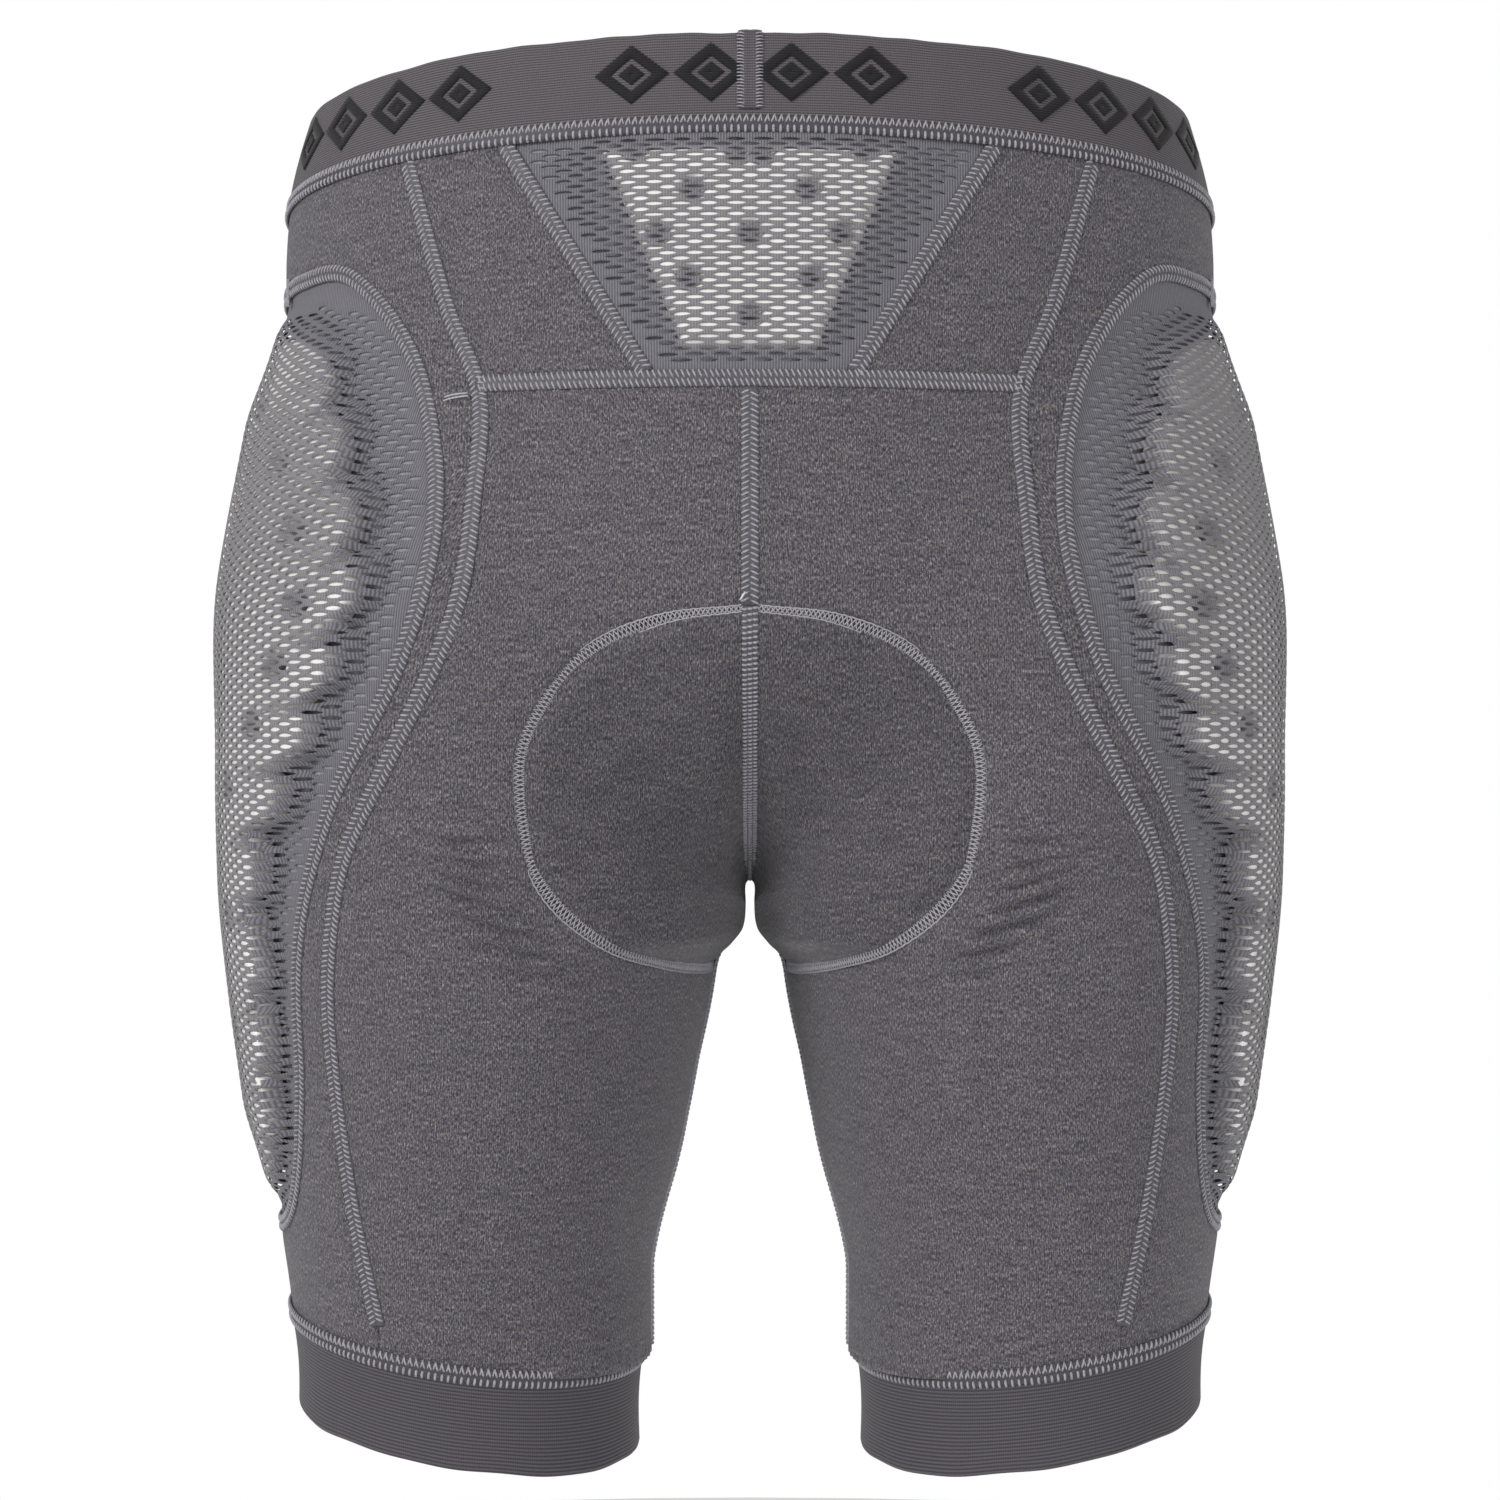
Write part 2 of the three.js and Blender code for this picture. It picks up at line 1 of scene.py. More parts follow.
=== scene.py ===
"""Looks for the padded impact shorts: jersey panels, open mesh with real holes over foam pads,
ribbed elastic and stitched seams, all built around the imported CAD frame.

Lengths in the shape code are millimetres and directions are radians about the leg's axis, where
0 is the outer side, minus a quarter turn the back and a quarter turn the front. Right-hand pieces
are built first and mirrored for the left.
"""
import math

import bpy
import numpy as np
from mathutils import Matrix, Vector


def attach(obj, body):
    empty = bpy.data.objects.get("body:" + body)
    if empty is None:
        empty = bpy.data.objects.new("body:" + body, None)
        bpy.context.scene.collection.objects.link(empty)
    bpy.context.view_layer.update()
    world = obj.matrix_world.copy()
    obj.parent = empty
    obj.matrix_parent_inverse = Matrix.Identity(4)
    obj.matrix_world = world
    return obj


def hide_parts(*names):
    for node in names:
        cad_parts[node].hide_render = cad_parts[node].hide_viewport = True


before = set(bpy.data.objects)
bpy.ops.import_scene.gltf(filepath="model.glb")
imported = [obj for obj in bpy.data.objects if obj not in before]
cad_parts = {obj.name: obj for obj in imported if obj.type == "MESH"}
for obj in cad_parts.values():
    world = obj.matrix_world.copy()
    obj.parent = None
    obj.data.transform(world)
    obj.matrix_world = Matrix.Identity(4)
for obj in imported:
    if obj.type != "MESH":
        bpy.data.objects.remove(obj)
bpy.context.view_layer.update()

METRE = 0.001                 # millimetres to metres

# ------------------------------------------------------------------ sizes shared with the CAD
FABRIC = 1.2
ELASTIC = 2.0
GAP = 0.3
MIDDLE = 0.4
YOKE_Z = -71
HEM_Z = -403
HEM_OUT_TILT = 0.145
HEM_FRONT_TILT = 0.075
WAIST_TILT = 0.135
WAISTBAND_HEIGHT = 32
HEM_BAND_HEIGHT = 34
BLEND = 24
LINING_DROP = 1.5
HIP_PAD = (0.2, 10.0)
TAIL_PAD = (-0.7, 4.0)
SEAT_INSET = 4
REACH = 260.0
BACK, FRONT = -1, 1

# Sizes that only the looks need.
ROW_PITCH = 1.86              # from one row of slits to the next, which is shifted by half
HIP_SLIT = (3.25, 0.72, 9.9)  # half width and height of a slit over a pad, and their spacing
TAIL_SLIT = (3.55, 0.64, 8.95)
SLIT_SHUT = 0.85              # share of that height where the mesh lies slack
MESH_THICK = 0.5
MESH_CLEAR = 0.25             # between the mesh and the pad under it
LOBE_DEPTH = 13.0             # of the notches between the hip pad's lobes
PAD_BELOW_WAIST = 8           # from the waist seam to the tailbone pad
PAD_ABOVE_YOKE = 10           # and from the yoke seam
LEFT_GRAIN = (517.0, 211.0, 0.0)      # how far the left side's cloth pattern is shifted
WORN = {                      # width and length of each sheet along the cloth as worn
    "back_panel": (235, 345), "front_panel": (215, 430), "back_yoke": (75, 95),
    "side_panel": (235, 430), "side_mesh": (215, 350), "pocket_lining": (215, 350),
    "tailbone_mesh": (172, 88), "tailbone_lining": (168, 84), "seat_pad_face": (250, 260),
    "waistband": (860, WAISTBAND_HEIGHT), "hem_band": (400, HEM_BAND_HEIGHT),
}


# ------------------------------------------------------------------ the worn shape
def profile(*pairs):
    """A smooth curve through (height, value) pairs listed from the top down."""
    z, v = np.array(pairs, float).T
    n = len(z)
    after = np.minimum(np.arange(n) + 1, n - 1)
    before = np.maximum(np.arange(n) - 1, 0)
    slope = (v[after] - v[before]) / (z[after] - z[before])

    def at(height):
        height = np.clip(np.asarray(height, float), z[-1], z[0])
        i = np.clip(np.searchsorted(-z, -height), 1, n - 1)
        span = z[i] - z[i - 1]
        t = (height - z[i - 1]) / span
        u = 1 - t
        ends = v[i - 1] * (1 + 2 * t) * u * u + v[i] * (3 - 2 * t) * t * t
        return ends + span * t * u * (slope[i - 1] * u - slope[i] * t)
    return at


HIPS = {
    "width": profile((50, 153), (0, 166), (-60, 167), (-110, 170), (-160, 175), (-240, 181)),
    "back": profile((50, 103), (0, 110), (-70, 120), (-140, 127), (-200, 122), (-250, 112)),
    "front": profile((50, 97), (0, 103), (-80, 108), (-150, 106), (-210, 100), (-250, 95)),
}
ROUND_TOP, ROUND_DEPTH = -130, 105
LEG = {
    "axis": profile((-100, 92), (-170, 95), (-237, 96), (-278, 95.5), (-328, 98), (-372, 102),
                    (-450, 101.5)),
    "width": profile((0, 40), (-100, 76), (-170, 86), (-237, 86), (-278, 83), (-328, 74),
                     (-372, 66), (-400, 62), (-450, 59)),
    "back": profile((0, 40), (-100, 95), (-150, 112), (-200, 112), (-237, 106), (-300, 91),
                    (-372, 72), (-400, 66), (-450, 62)),
    "front": profile((0, 40), (-100, 85), (-150, 95), (-237, 92), (-300, 86), (-372, 71),
                     (-400, 66), (-450, 62)),
}


def measures(z):
    """Every profile's value at the given heights, so that rays at one height share them."""
    drop = np.maximum(0, (ROUND_TOP - z) / ROUND_DEPTH)
    return [HIPS[k](z) for k in ("width", "back", "front")] + [drop] + [
        LEG[k](z) for k in ("axis", "width", "back", "front")]


def oval(x, y, drop, width, back, front):
    deep = np.where(y < 0, back, front)
    size = np.minimum(width, (back + front) / 2)
    return (np.sqrt((x / width) ** 2 + (y / deep) ** 2 + drop ** 2) - 1) * size


def outside_with(x, y, sizes):
    """Roughly the distance outside the worn shape, negative inside it."""
    width, back, front, drop, axis, leg_width, leg_back, leg_front = sizes
    seat = oval(x, y, drop, width, back, front)
    thigh = oval(np.abs(x) - axis, y, 0, leg_width, leg_back, leg_front)
    near = np.maximum(BLEND - np.abs(seat - thigh), 0) / BLEND
    return np.minimum(seat, thigh) - near * near * BLEND / 4


def outside(x, y, z):
    return outside_with(x, y, measures(z))


def crossing(test, far):
    """Where a test turns from negative to positive, for many rays at once."""
    low = np.zeros_like(far)
    high = far.copy()
    for _ in range(30):
        middle = (low + high) / 2
        inside = test(middle) < 0
        low = np.where(inside, middle, low)
        high = np.where(inside, high, middle)
    return (low + high) / 2


def about_leg(angle, z):
    """Points of the shape in directions from the right leg's axis."""
    angle, z = np.broadcast_arrays(np.asarray(angle, float), np.asarray(z, float))
    c, s = np.cos(angle), np.sin(angle)
    sizes = measures(z)
    axis = sizes[4]
    middle = np.where(c < 0, (axis - MIDDLE) / np.maximum(-c, 1e-6), REACH)
    r = crossing(lambda d: outside_with(axis + d * c, d * s, sizes), np.minimum(REACH, middle))
    return np.stack([axis + r * c, r * s, z], -1)


def about_middle(angle, z):
    angle, z = np.broadcast_arrays(np.asarray(angle, float), np.asarray(z, float))
    c, s = np.cos(angle), np.sin(angle)
    sizes = measures(z)
    r = crossing(lambda d: outside_with(d * c, d * s, sizes), np.full(z.shape, REACH))
    return np.stack([r * c, r * s, z], -1)


def facing(side, x, z):
    """Points of the shape at a width and height, at the back or front."""
    x, z = np.broadcast_arrays(np.asarray(x, float), np.asarray(z, float))
    sizes = measures(z)
    y = side * crossing(lambda d: outside_with(x, side * d, sizes), np.full(z.shape, REACH))
    return np.stack([x, y, z], -1)


def normals_at(points):
    step = 0.6
    x, y, z = np.moveaxis(points, -1, 0)
    n = np.stack([
        outside(x + step, y, z) - outside(x - step, y, z),
        outside(x, y + step, z) - outside(x, y - step, z),
        outside(x, y, z + step) - outside(x, y, z - step)], -1)
    return n / np.linalg.norm(n, axis=-1, keepdims=True)


def lift(points, height):
    return points + normals_at(points) * np.asarray(height, float)[..., None]


def lerp(a, b, t):
    return a + (b - a) * t


def smooth(t, low=0.0, high=1.0):
    t = np.clip((t - low) / (high - low), 0, 1)
    return t * t * (3 - 2 * t)


def full_turn(count):
    """Evenly spaced directions all the way round."""
    return np.linspace(0, 2 * math.pi, count, endpoint=False)


def distances(points):
    """How far along a chain of points each one lies."""
    return np.concatenate([[0], np.cumsum(np.linalg.norm(np.diff(points, axis=0), axis=1))])


# ------------------------------------------------------------------ seam lines
BACK_SEAM_X = profile((10, 117), (-45, 101), (-74, 90), (-107, 91), (-147, 97), (-197, 120),
                      (-227, 135), (-254, 141), (-285, 143), (-345, 137), (-394, 128))
FRONT_SEAM_X = profile((-15, 106), (-60, 98), (-120, 96), (-180, 114), (-230, 134),
                       (-280, 144), (-340, 140), (-400, 132))
TAIL_SEAM_X = profile((15, 85), (YOKE_Z, 33))
TAIL_PAD_X = profile((11, 51), (-61, 22))
# Outlines of the pocket's mesh, the hip pad and the seat pad, in degrees and millimetres.
MESH_OUTLINE = [(-32, -28), (-57, -31), (-77, -62), (-84, -115), (-79, -165), (-64, -215),
                (-50, -267), (-44, -315), (-31, -356), (0, -363), (26, -354), (40, -300),
                (52, -240), (64, -180), (68, -120), (60, -65), (40, -36), (0, -32)]
PAD_OUTLINE = [(-36, -50), (-57, -68), (-69, -114), (-72, -141), (-62, -190), (-44, -237),
               (-37, -300), (-28, -338), (0, -349), (22, -338), (28, -300), (36, -240),
               (48, -190), (53, -141), (51, -100), (40, -64), (20, -50), (0, -48)]
SEAT_BACK = [(-125, -147), (-118, -150), (-110, -160), (-104, -176), (-100, -200),
             (-104, -236), (-117, -257), (-136, -266), (-158, -270), (-180, -271)]
SEAT_FRONT = [(-180, -271), (-204, -262), (-220, -245), (-231, -218), (-237, -185),
              (-236, -162), (-231, -150)]
POCKET_CENTRE = np.array([-2.0, -190.0])
POCKET_UNIT = np.array([62.0, 100.0])     # degrees and millimetres
UNIT_MM = 100.0


def rounded(outline, count, closed):
    """Evenly numbered points of the smooth curve through an outline's points."""
    p = np.array(outline, float)
    n = len(p)
    t = np.linspace(0, n if closed else n - 1, count, endpoint=not closed)
    i = np.minimum(t.astype(int), n - 1 if closed else n - 2)
    f = (t - i)[:, None]
    near = np.stack([i - 1, i, i + 1, i + 2])
    a, b, c, d = p[near % n if closed else np.clip(near, 0, n - 1)]
    return 0.5 * (2 * b + (c - a) * f + (2 * a - 5 * b + 4 * c - d) * f ** 2
                  + (3 * b - a - 3 * c + d) * f ** 3)


def table(test, low, high, count=700):
    """A function of one number, looked up from evenly spaced samples."""
    at = np.linspace(low, high, count)
    values = test(at)
    return lambda q: np.interp(q, at, values)


def direction_at(side, x, z):
    z = np.asarray(z, float)
    x = np.broadcast_to(np.asarray(x, float), z.shape)
    p = facing(side, x, z)
    found = np.arctan2(p[..., 1], x - LEG["axis"](z))
    return np.where(outside(x, 0 * z, z) < 0, found, side * math.pi)


def on_plane(level):
    def at(angle):
        z = np.full(angle.shape, HEM_Z / 2.0)
        for _ in range(12):
            z = level(about_leg(angle, z))
        return z
    return at


def waist_level(p):
    return -WAIST_TILT * p[..., 1]


def hem_level(p):
    out = HEM_OUT_TILT * (p[..., 0] - LEG["axis"](HEM_Z))
    return HEM_Z + out + HEM_FRONT_TILT * p[..., 1]


TOP, BOTTOM = 60.0, -460.0
waist_at = table(on_plane(waist_level), -2 * math.pi, 2 * math.pi, 1500)
hem_at = table(on_plane(hem_level), -2 * math.pi, 2 * math.pi, 1500)
back_seam = table(lambda z: direction_at(BACK, BACK_SEAM_X(z), z), BOTTOM, TOP)
front_seam = table(lambda z: direction_at(FRONT, FRONT_SEAM_X(z), z), BOTTOM, TOP)
middle_back = table(lambda z: direction_at(BACK, MIDDLE, z), BOTTOM, TOP, 4000)
middle_front = table(lambda z: direction_at(FRONT, MIDDLE, z), BOTTOM, TOP, 4000)
CROTCH = float(min(-crossing(lambda d: outside(np.full(1, MIDDLE), np.full(1, float(y)), -d),
                             np.full(1, 400.0))[0] for y in (-20, -10, 0, 5, 10, 15, 20)))


# ------------------------------------------------------------------ meshes
def shell(top, bottom, faces):
    """A closed sheet from matching top and bottom vertices: walls join the two along every
    edge that only one face uses."""
    count = len(top)
    quads, tris = faces
    sides = [quads[:, [k, (k + 1) % 4]] for k in range(4)] if len(quads) else []
    sides += [tris[:, [k, (k + 1) % 3]] for k in range(3)] if len(tris) else []
    edges = np.concatenate(sides)
    forward = edges[:, 0].astype(np.int64) * count + edges[:, 1]
    backward = edges[:, 1].astype(np.int64) * count + edges[:, 0]
    lone = edges[~np.isin(forward, backward)]
    walls = np.stack([lone[:, 1], lone[:, 0], lone[:, 0] + count, lone[:, 1] + count], -1)
    all_quads = [walls]
    if len(quads):
        all_quads += [quads, quads[:, ::-1] + count]
    all_tris = [tris, tris[:, ::-1] + count] if len(tris) else []
    return np.concatenate([top, bottom]), np.concatenate(all_quads), (
        np.concatenate(all_tris) if all_tris else np.zeros((0, 3), int))


def grid_faces(rows, columns, loop=False):
    i, j = np.meshgrid(np.arange(rows - 1), np.arange(columns if loop else columns - 1),
                       indexing="ij")
    k = (j + 1) % columns
    quads = np.stack([i * columns + j, i * columns + k, (i + 1) * columns + k,
                      (i + 1) * columns + j], -1).reshape(-1, 4)
    return quads, np.zeros((0, 3), int)


def sheet_parts(top, bottom, loop=False):
    rows, columns = top.shape[:2]
    return shell(top.reshape(-1, 3), bottom.reshape(-1, 3), grid_faces(rows, columns, loop))


def disc_parts(top, bottom):
    """A closed sheet from rings of points that close in on their middle."""
    rings, rays = top.shape[:2]
    quads, _ = grid_faces(rings, rays, loop=True)
    j = np.arange(rays)
    tris = np.stack([np.full(rays, rings * rays), (j + 1) % rays, j], -1)
    flat = [np.concatenate([p.reshape(-1, 3), p[0].mean(0)[None, :]]) for p in (top, bottom)]
    return shell(*flat, (quads, tris))


def signed_volume(verts, quads, tris):
    faces = np.concatenate([tris, quads[:, [0, 1, 2]], quads[:, [0, 2, 3]]])
    a, b, c = (verts[faces[:, k]] for k in range(3))
    return float(np.einsum("ij,ij->i", a, np.cross(b, c)).sum())


def make(name, parts, material, cloth=None, body="shorts"):
    """A Blender mesh object from (vertices, quads, triangles), its faces turned outward."""
    verts, quads, tris = parts
    if signed_volume(verts, quads, tris) < 0:
        quads, tris = quads[:, ::-1], tris[:, ::-1]
    mesh = bpy.data.meshes.new(name)
    mesh.vertices.add(len(verts))
    mesh.vertices.foreach_set("co", (verts * METRE).astype(np.float32).ravel())
    mesh.loops.add(quads.size + tris.size)
    corners = np.concatenate([quads.ravel(), tris.ravel()])
    mesh.loops.foreach_set("vertex_index", corners.astype(np.int32))
    mesh.polygons.add(len(quads) + len(tris))
    sizes = np.concatenate([np.full(len(quads), 4), np.full(len(tris), 3)])
    mesh.polygons.foreach_set("loop_start", (np.cumsum(sizes) - sizes).astype(np.int32))
    mesh.update(calc_edges=True)
    mesh.validate()
    mesh.polygons.foreach_set("use_smooth", np.ones(len(mesh.polygons), bool))
    if cloth is not None:
        lay = mesh.attributes.new("cloth", "FLOAT_VECTOR", "POINT")
        lay.data.foreach_set("vector", np.asarray(cloth, np.float32).ravel())
    mesh.materials.append(material)
    piece = bpy.data.objects.new(name, mesh)
    bpy.context.scene.collection.objects.link(piece)
    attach(piece, body)
    return piece


def mirrored(parts):
    verts, quads, tris = parts
    return verts * np.array([-1.0, 1.0, 1.0]), quads[:, ::-1], tris[:, ::-1]


def stands_for(piece, node):
    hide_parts(node)
    return piece


def make_single(name, parts, material, cloth=None):
    piece = stands_for(make(f"{name}_look", parts, material, cloth), name)
    cloth_sheet(name)
    return piece


def make_pair(name, parts, material, cloth=None, body=None, suffix="look"):
    """The right-hand piece and its mirror image; the left's cloth pattern starts elsewhere."""
    pieces = []
    for side, shape in (("right", parts), ("left", mirrored(parts))):
        lay = cloth if cloth is None or side == "right" else cloth + LEFT_GRAIN
        rides = f"{body}_{side}" if body else "shorts"
        piece = make(f"{name}_{side}_{suffix}", shape, material, lay, rides)
        pieces.append(stands_for(piece, f"{name}_{side}"))
        cloth_sheet(name)
    return pieces


def cloth_sheet(name):
    """Does nothing: it returns at once, whether or not WORN lists the piece."""
    if name not in WORN:
        return


def cloth_lay(u, v, third=0.0, faces=2):
    """Cloth coordinates for the faces of a sheet: millimetres across and along it, and the share
    that third_of reads."""
    lay = np.stack(np.broadcast_arrays(u, v, third), -1).reshape(-1, 3)
    return np.concatenate([lay] * faces)


# ------------------------------------------------------------------ materials
def srgb(r, g, b):
    """A linear colour from display values of 0 to 255."""
    def linear(v):
        v /= 255
        return v / 12.92 if v <= 0.04045 else ((v + 0.055) / 1.055) ** 2.4
    return linear(r), linear(g), linear(b), 1.0


class Nodes:
    """Short names for building one material's node tree around a Principled shader."""

    def __init__(self, name, roughness, sheen=0.0, specular=0.3):
        self.material = bpy.data.materials.new(name)
        self.material.use_nodes = True
        self.tree = self.material.node_tree
        self.shader = self.tree.nodes["Principled BSDF"]
        self.shader.inputs["Roughness"].default_value = roughness
        self.shader.inputs["Sheen Weight"].default_value = sheen
        self.shader.inputs["Sheen Roughness"].default_value = 0.45
        self.shader.inputs["Specular IOR Level"].default_value = specular

    def add(self, kind, **values):
        node = self.tree.nodes.new(f"ShaderNode{kind}")
        for key, value in values.items():
            setattr(node, key, value)
        return node

    def join(self, source, target):
        self.tree.links.new(source, target)

    def cloth(self, across=1.0, along=1.0, turn=0.0):
        """The cloth's own coordinates in millimetres, scaled each way."""
        lay = self.add("Attribute", attribute_name="cloth")
        mapping = self.add("Mapping")
        mapping.inputs["Scale"].default_value = (across, along, 0.0)
        mapping.inputs["Rotation"].default_value = (0, 0, turn)
        self.join(lay.outputs["Vector"], mapping.inputs["Vector"])
        return mapping.outputs["Vector"]

    def place(self, scale):
        """The piece's own position, for pieces without a lay; scale is per metre."""
        at = self.add("TexCoord")
        mapping = self.add("Mapping")
        mapping.inputs["Scale"].default_value = (scale,) * 3
        self.join(at.outputs["Object"], mapping.inputs["Vector"])
        return mapping.outputs["Vector"]

    def noise(self, vector, scale=1.0, detail=2.0, rough=0.5):
        node = self.add("TexNoise")
        node.inputs["Scale"].default_value = scale
        node.inputs["Detail"].default_value = detail
        node.inputs["Roughness"].default_value = rough
        self.join(vector, node.inputs["Vector"])
        return node.outputs["Fac"]

    def wave(self, vector, direction, distort=0.0, detail=2.0):
        """Bands that repeat every WAVES units of the vector."""
        node = self.add("TexWave", bands_direction=direction)
        node.inputs["Scale"].default_value = 1.0
        node.inputs["Distortion"].default_value = distort
        node.inputs["Detail"].default_value = detail
        self.join(vector, node.inputs["Vector"])
        return node.outputs["Fac"]

    def ramp(self, fac, *stops):
        node = self.add("ValToRGB")
        ramp = node.color_ramp
        while len(ramp.elements) < len(stops):
            ramp.elements.new(0.5)
        for element, (at, colour) in zip(ramp.elements, stops):
            element.position = at
            element.color = colour
        self.join(fac, node.inputs["Fac"])
        return node.outputs["Color"]

    def mix(self, fac, a, b, blend="MIX"):
        node = self.add("Mix", data_type="RGBA", blend_type=blend)
        for value, target in ((fac, node.inputs[0]), (a, node.inputs[6]), (b, node.inputs[7])):
            if hasattr(value, "is_linked"):
                self.join(value, target)
            else:
                target.default_value = value
        return node.outputs[2]

    def maths(self, operation, a, b):
        node = self.add("Math", operation=operation)
        for value, target in ((a, node.inputs[0]), (b, node.inputs[1])):
            if hasattr(value, "is_linked"):
                self.join(value, target)
            else:
                target.default_value = value
        return node.outputs[0]

    def finish(self, colour, height=None, distance=0.0002, strength=0.6):
        self.join(colour, self.shader.inputs["Base Color"])
        if height is not None:
            bump = self.add("Bump")
            bump.inputs["Distance"].default_value = distance
            bump.inputs["Strength"].default_value = strength
            self.join(height, bump.inputs["Height"])
            self.join(bump.outputs["Normal"], self.shader.inputs["Normal"])
        return self.material


WAVES = 2 * math.pi / 20      # the period of a wave texture whose Scale is 1, in units


def pitch(millimetres):
    """The vector scale that gives a wave texture this pitch in millimetres."""
    return WAVES / millimetres


def third_of(nodes):
    """The third cloth coordinate, from 0 to 1: how much the jersey is painted darker (painted shade
    in the seat's cleft and stitched groove, darker inside the seat pad's outline), how much painted
    light from the white foam shows in the mesh's yarn, or how deep a spot lies in a pad's pit, where
    the foam is painted dark."""
    lay = nodes.add("Attribute", attribute_name="cloth")
    split = nodes.add("SeparateXYZ")
    nodes.join(lay.outputs["Vector"], split.inputs[0])
    return split.outputs["Z"]


def jersey_material():
    """Heather jersey: fine vertical wales of light and dark fibres."""
    n = Nodes("heather_jersey", roughness=0.88, sheen=0.25)
    fibres = n.noise(n.cloth(1.75, 0.8), detail=2.0, rough=0.75)
    flecks = n.noise(n.cloth(0.5, 0.3), detail=2.0)
    wales = n.wave(n.cloth(pitch(0.74), pitch(40)), "X", distort=0.5)
    mottled = n.ramp(fibres, (0.30, srgb(46, 44, 48)), (0.47, srgb(96, 92, 97)),
                     (0.57, srgb(124, 120, 126)), (0.74, srgb(186, 182, 186)))
    tinted = n.ramp(flecks, (0.32, (0.74, 0.75, 0.80, 1)), (0.5, (1, 1, 1, 1)),
                    (0.7, (1.0, 0.97, 0.92, 1)))
    colour = n.mix(1.0, mottled, tinted, "MULTIPLY")
    lines = n.ramp(wales, (0.0, (0.72, 0.72, 0.74, 1)), (0.6, (1, 1, 1, 1)))
    colour = n.mix(1.0, colour, lines, "MULTIPLY")
    streaks = n.noise(n.cloth(0.09, 0.34), detail=3.0)
    uneven = n.ramp(streaks, (0.3, (0.80, 0.80, 0.82, 1)), (0.7, (1.08, 1.08, 1.06, 1)))
    colour = n.mix(1.0, colour, uneven, "MULTIPLY")
    # Painted shade: the third cloth coordinate darkens the jersey in the seat's cleft and stitched
    # groove, and inside the seat pad's outline.
    painted_shade_and_darkening = n.ramp(third_of(n), (0.0, (1, 1, 1, 1)), (1.0, (0.28, 0.28, 0.28, 1)))
    colour = n.mix(1.0, colour, painted_shade_and_darkening, "MULTIPLY")
    height = n.maths("ADD", wales, n.maths("MULTIPLY", fibres, 1.4))
    return n.finish(colour, height, 0.00018, 0.7)


def mesh_material():
    """Warp-knit mesh: a smoother, bluer grey with fine vertical ribs, painted paler over the foam as
    painted light for the foam's light coming through the yarn.
    """
    n = Nodes("pocket_mesh", roughness=0.7, sheen=0.2)
    ribs = n.wave(n.cloth(pitch(0.95), pitch(60)), "X", distort=0.4)
    worn = n.noise(n.cloth(0.9, 0.9), detail=2.0)
    colour = n.ramp(ribs, (0.0, srgb(92, 91, 98)), (0.45, srgb(119, 117, 124)),
                    (1.0, srgb(138, 136, 142)))
    grain = n.ramp(worn, (0.3, (0.84, 0.84, 0.86, 1)), (0.7, (1, 1, 1, 1)))
    colour = n.mix(1.0, colour, grain, "MULTIPLY")
    # Painted light: the yarn is mixed towards pale grey where white foam lies behind it, standing in
    # for light the foam sends back through the sheer mesh; over the pad's pits it stays darker, a
    # painted shade.
    painted_foam_light = n.maths("MULTIPLY", third_of(n), 0.3)
    colour = n.mix(painted_foam_light, colour, srgb(176, 173, 173))
    return n.finish(colour, ribs, 0.0002, 0.8)


def elastic_material(name, light, dark, rib):
    """Woven elastic: cords along the band crossed by fine ends."""
    n = Nodes(name, roughness=0.75, sheen=0.15)
    courses = n.wave(n.cloth(pitch(30), pitch(rib)), "Y", distort=0.25)
    ends = n.wave(n.cloth(pitch(0.8), pitch(40)), "X", distort=0.5)
    fuzz = n.noise(n.cloth(1.6, 1.6), detail=3.0, rough=0.65)
    grid = n.maths("MULTIPLY", courses, n.maths("ADD", n.maths("MULTIPLY", ends, 0.6), 0.4))
    colour = n.ramp(grid, (0.0, dark), (0.55, light))
    grain = n.ramp(fuzz, (0.3, (0.78, 0.78, 0.80, 1)), (0.68, (1.0, 1.0, 1.0, 1)))
    colour = n.mix(1.0, colour, grain, "MULTIPLY")
    height = n.maths("ADD", grid, n.maths("MULTIPLY", fuzz, 0.5))
    return n.finish(colour, height, 0.0002, 0.6)


def foam_material(name, light, dark, sheen=0.0):
    """Closed-cell foam: pale with fine open pores, painted dark down in its pits: painted shade in
    the hollows, together with the grey lining that the pad's perforations show.
    """
    n = Nodes(name, roughness=0.75, sheen=sheen)
    pores = n.add("TexVoronoi", feature="F1")
    pores.inputs["Scale"].default_value = 1.0
    n.join(n.place(900), pores.inputs["Vector"])
    cloud = n.noise(n.place(60), detail=3.0)
    colour = n.ramp(cloud, (0.3, dark), (0.7, light))
    # Painted shade: the colour turns mid grey down in each pit, partly standing for the grey lining
    # seen through the foam's perforations.
    colour = n.mix(third_of(n), colour, srgb(104, 102, 108))
    height = n.maths("SUBTRACT", pores.outputs["Distance"], 0.2)
    return n.finish(colour, height, 0.0002, 0.35)


def thread_material(name, light, dark, sheen=0.1):
    """Twisted thread: a slight gloss and a fine ply along the strand."""
    n = Nodes(name, roughness=0.55, sheen=sheen, specular=0.4)
    ply = n.noise(n.place(1700), detail=2.0, rough=0.7)
    colour = n.ramp(ply, (0.3, dark), (0.68, light))
    return n.finish(colour, ply, 0.00015, 0.6)


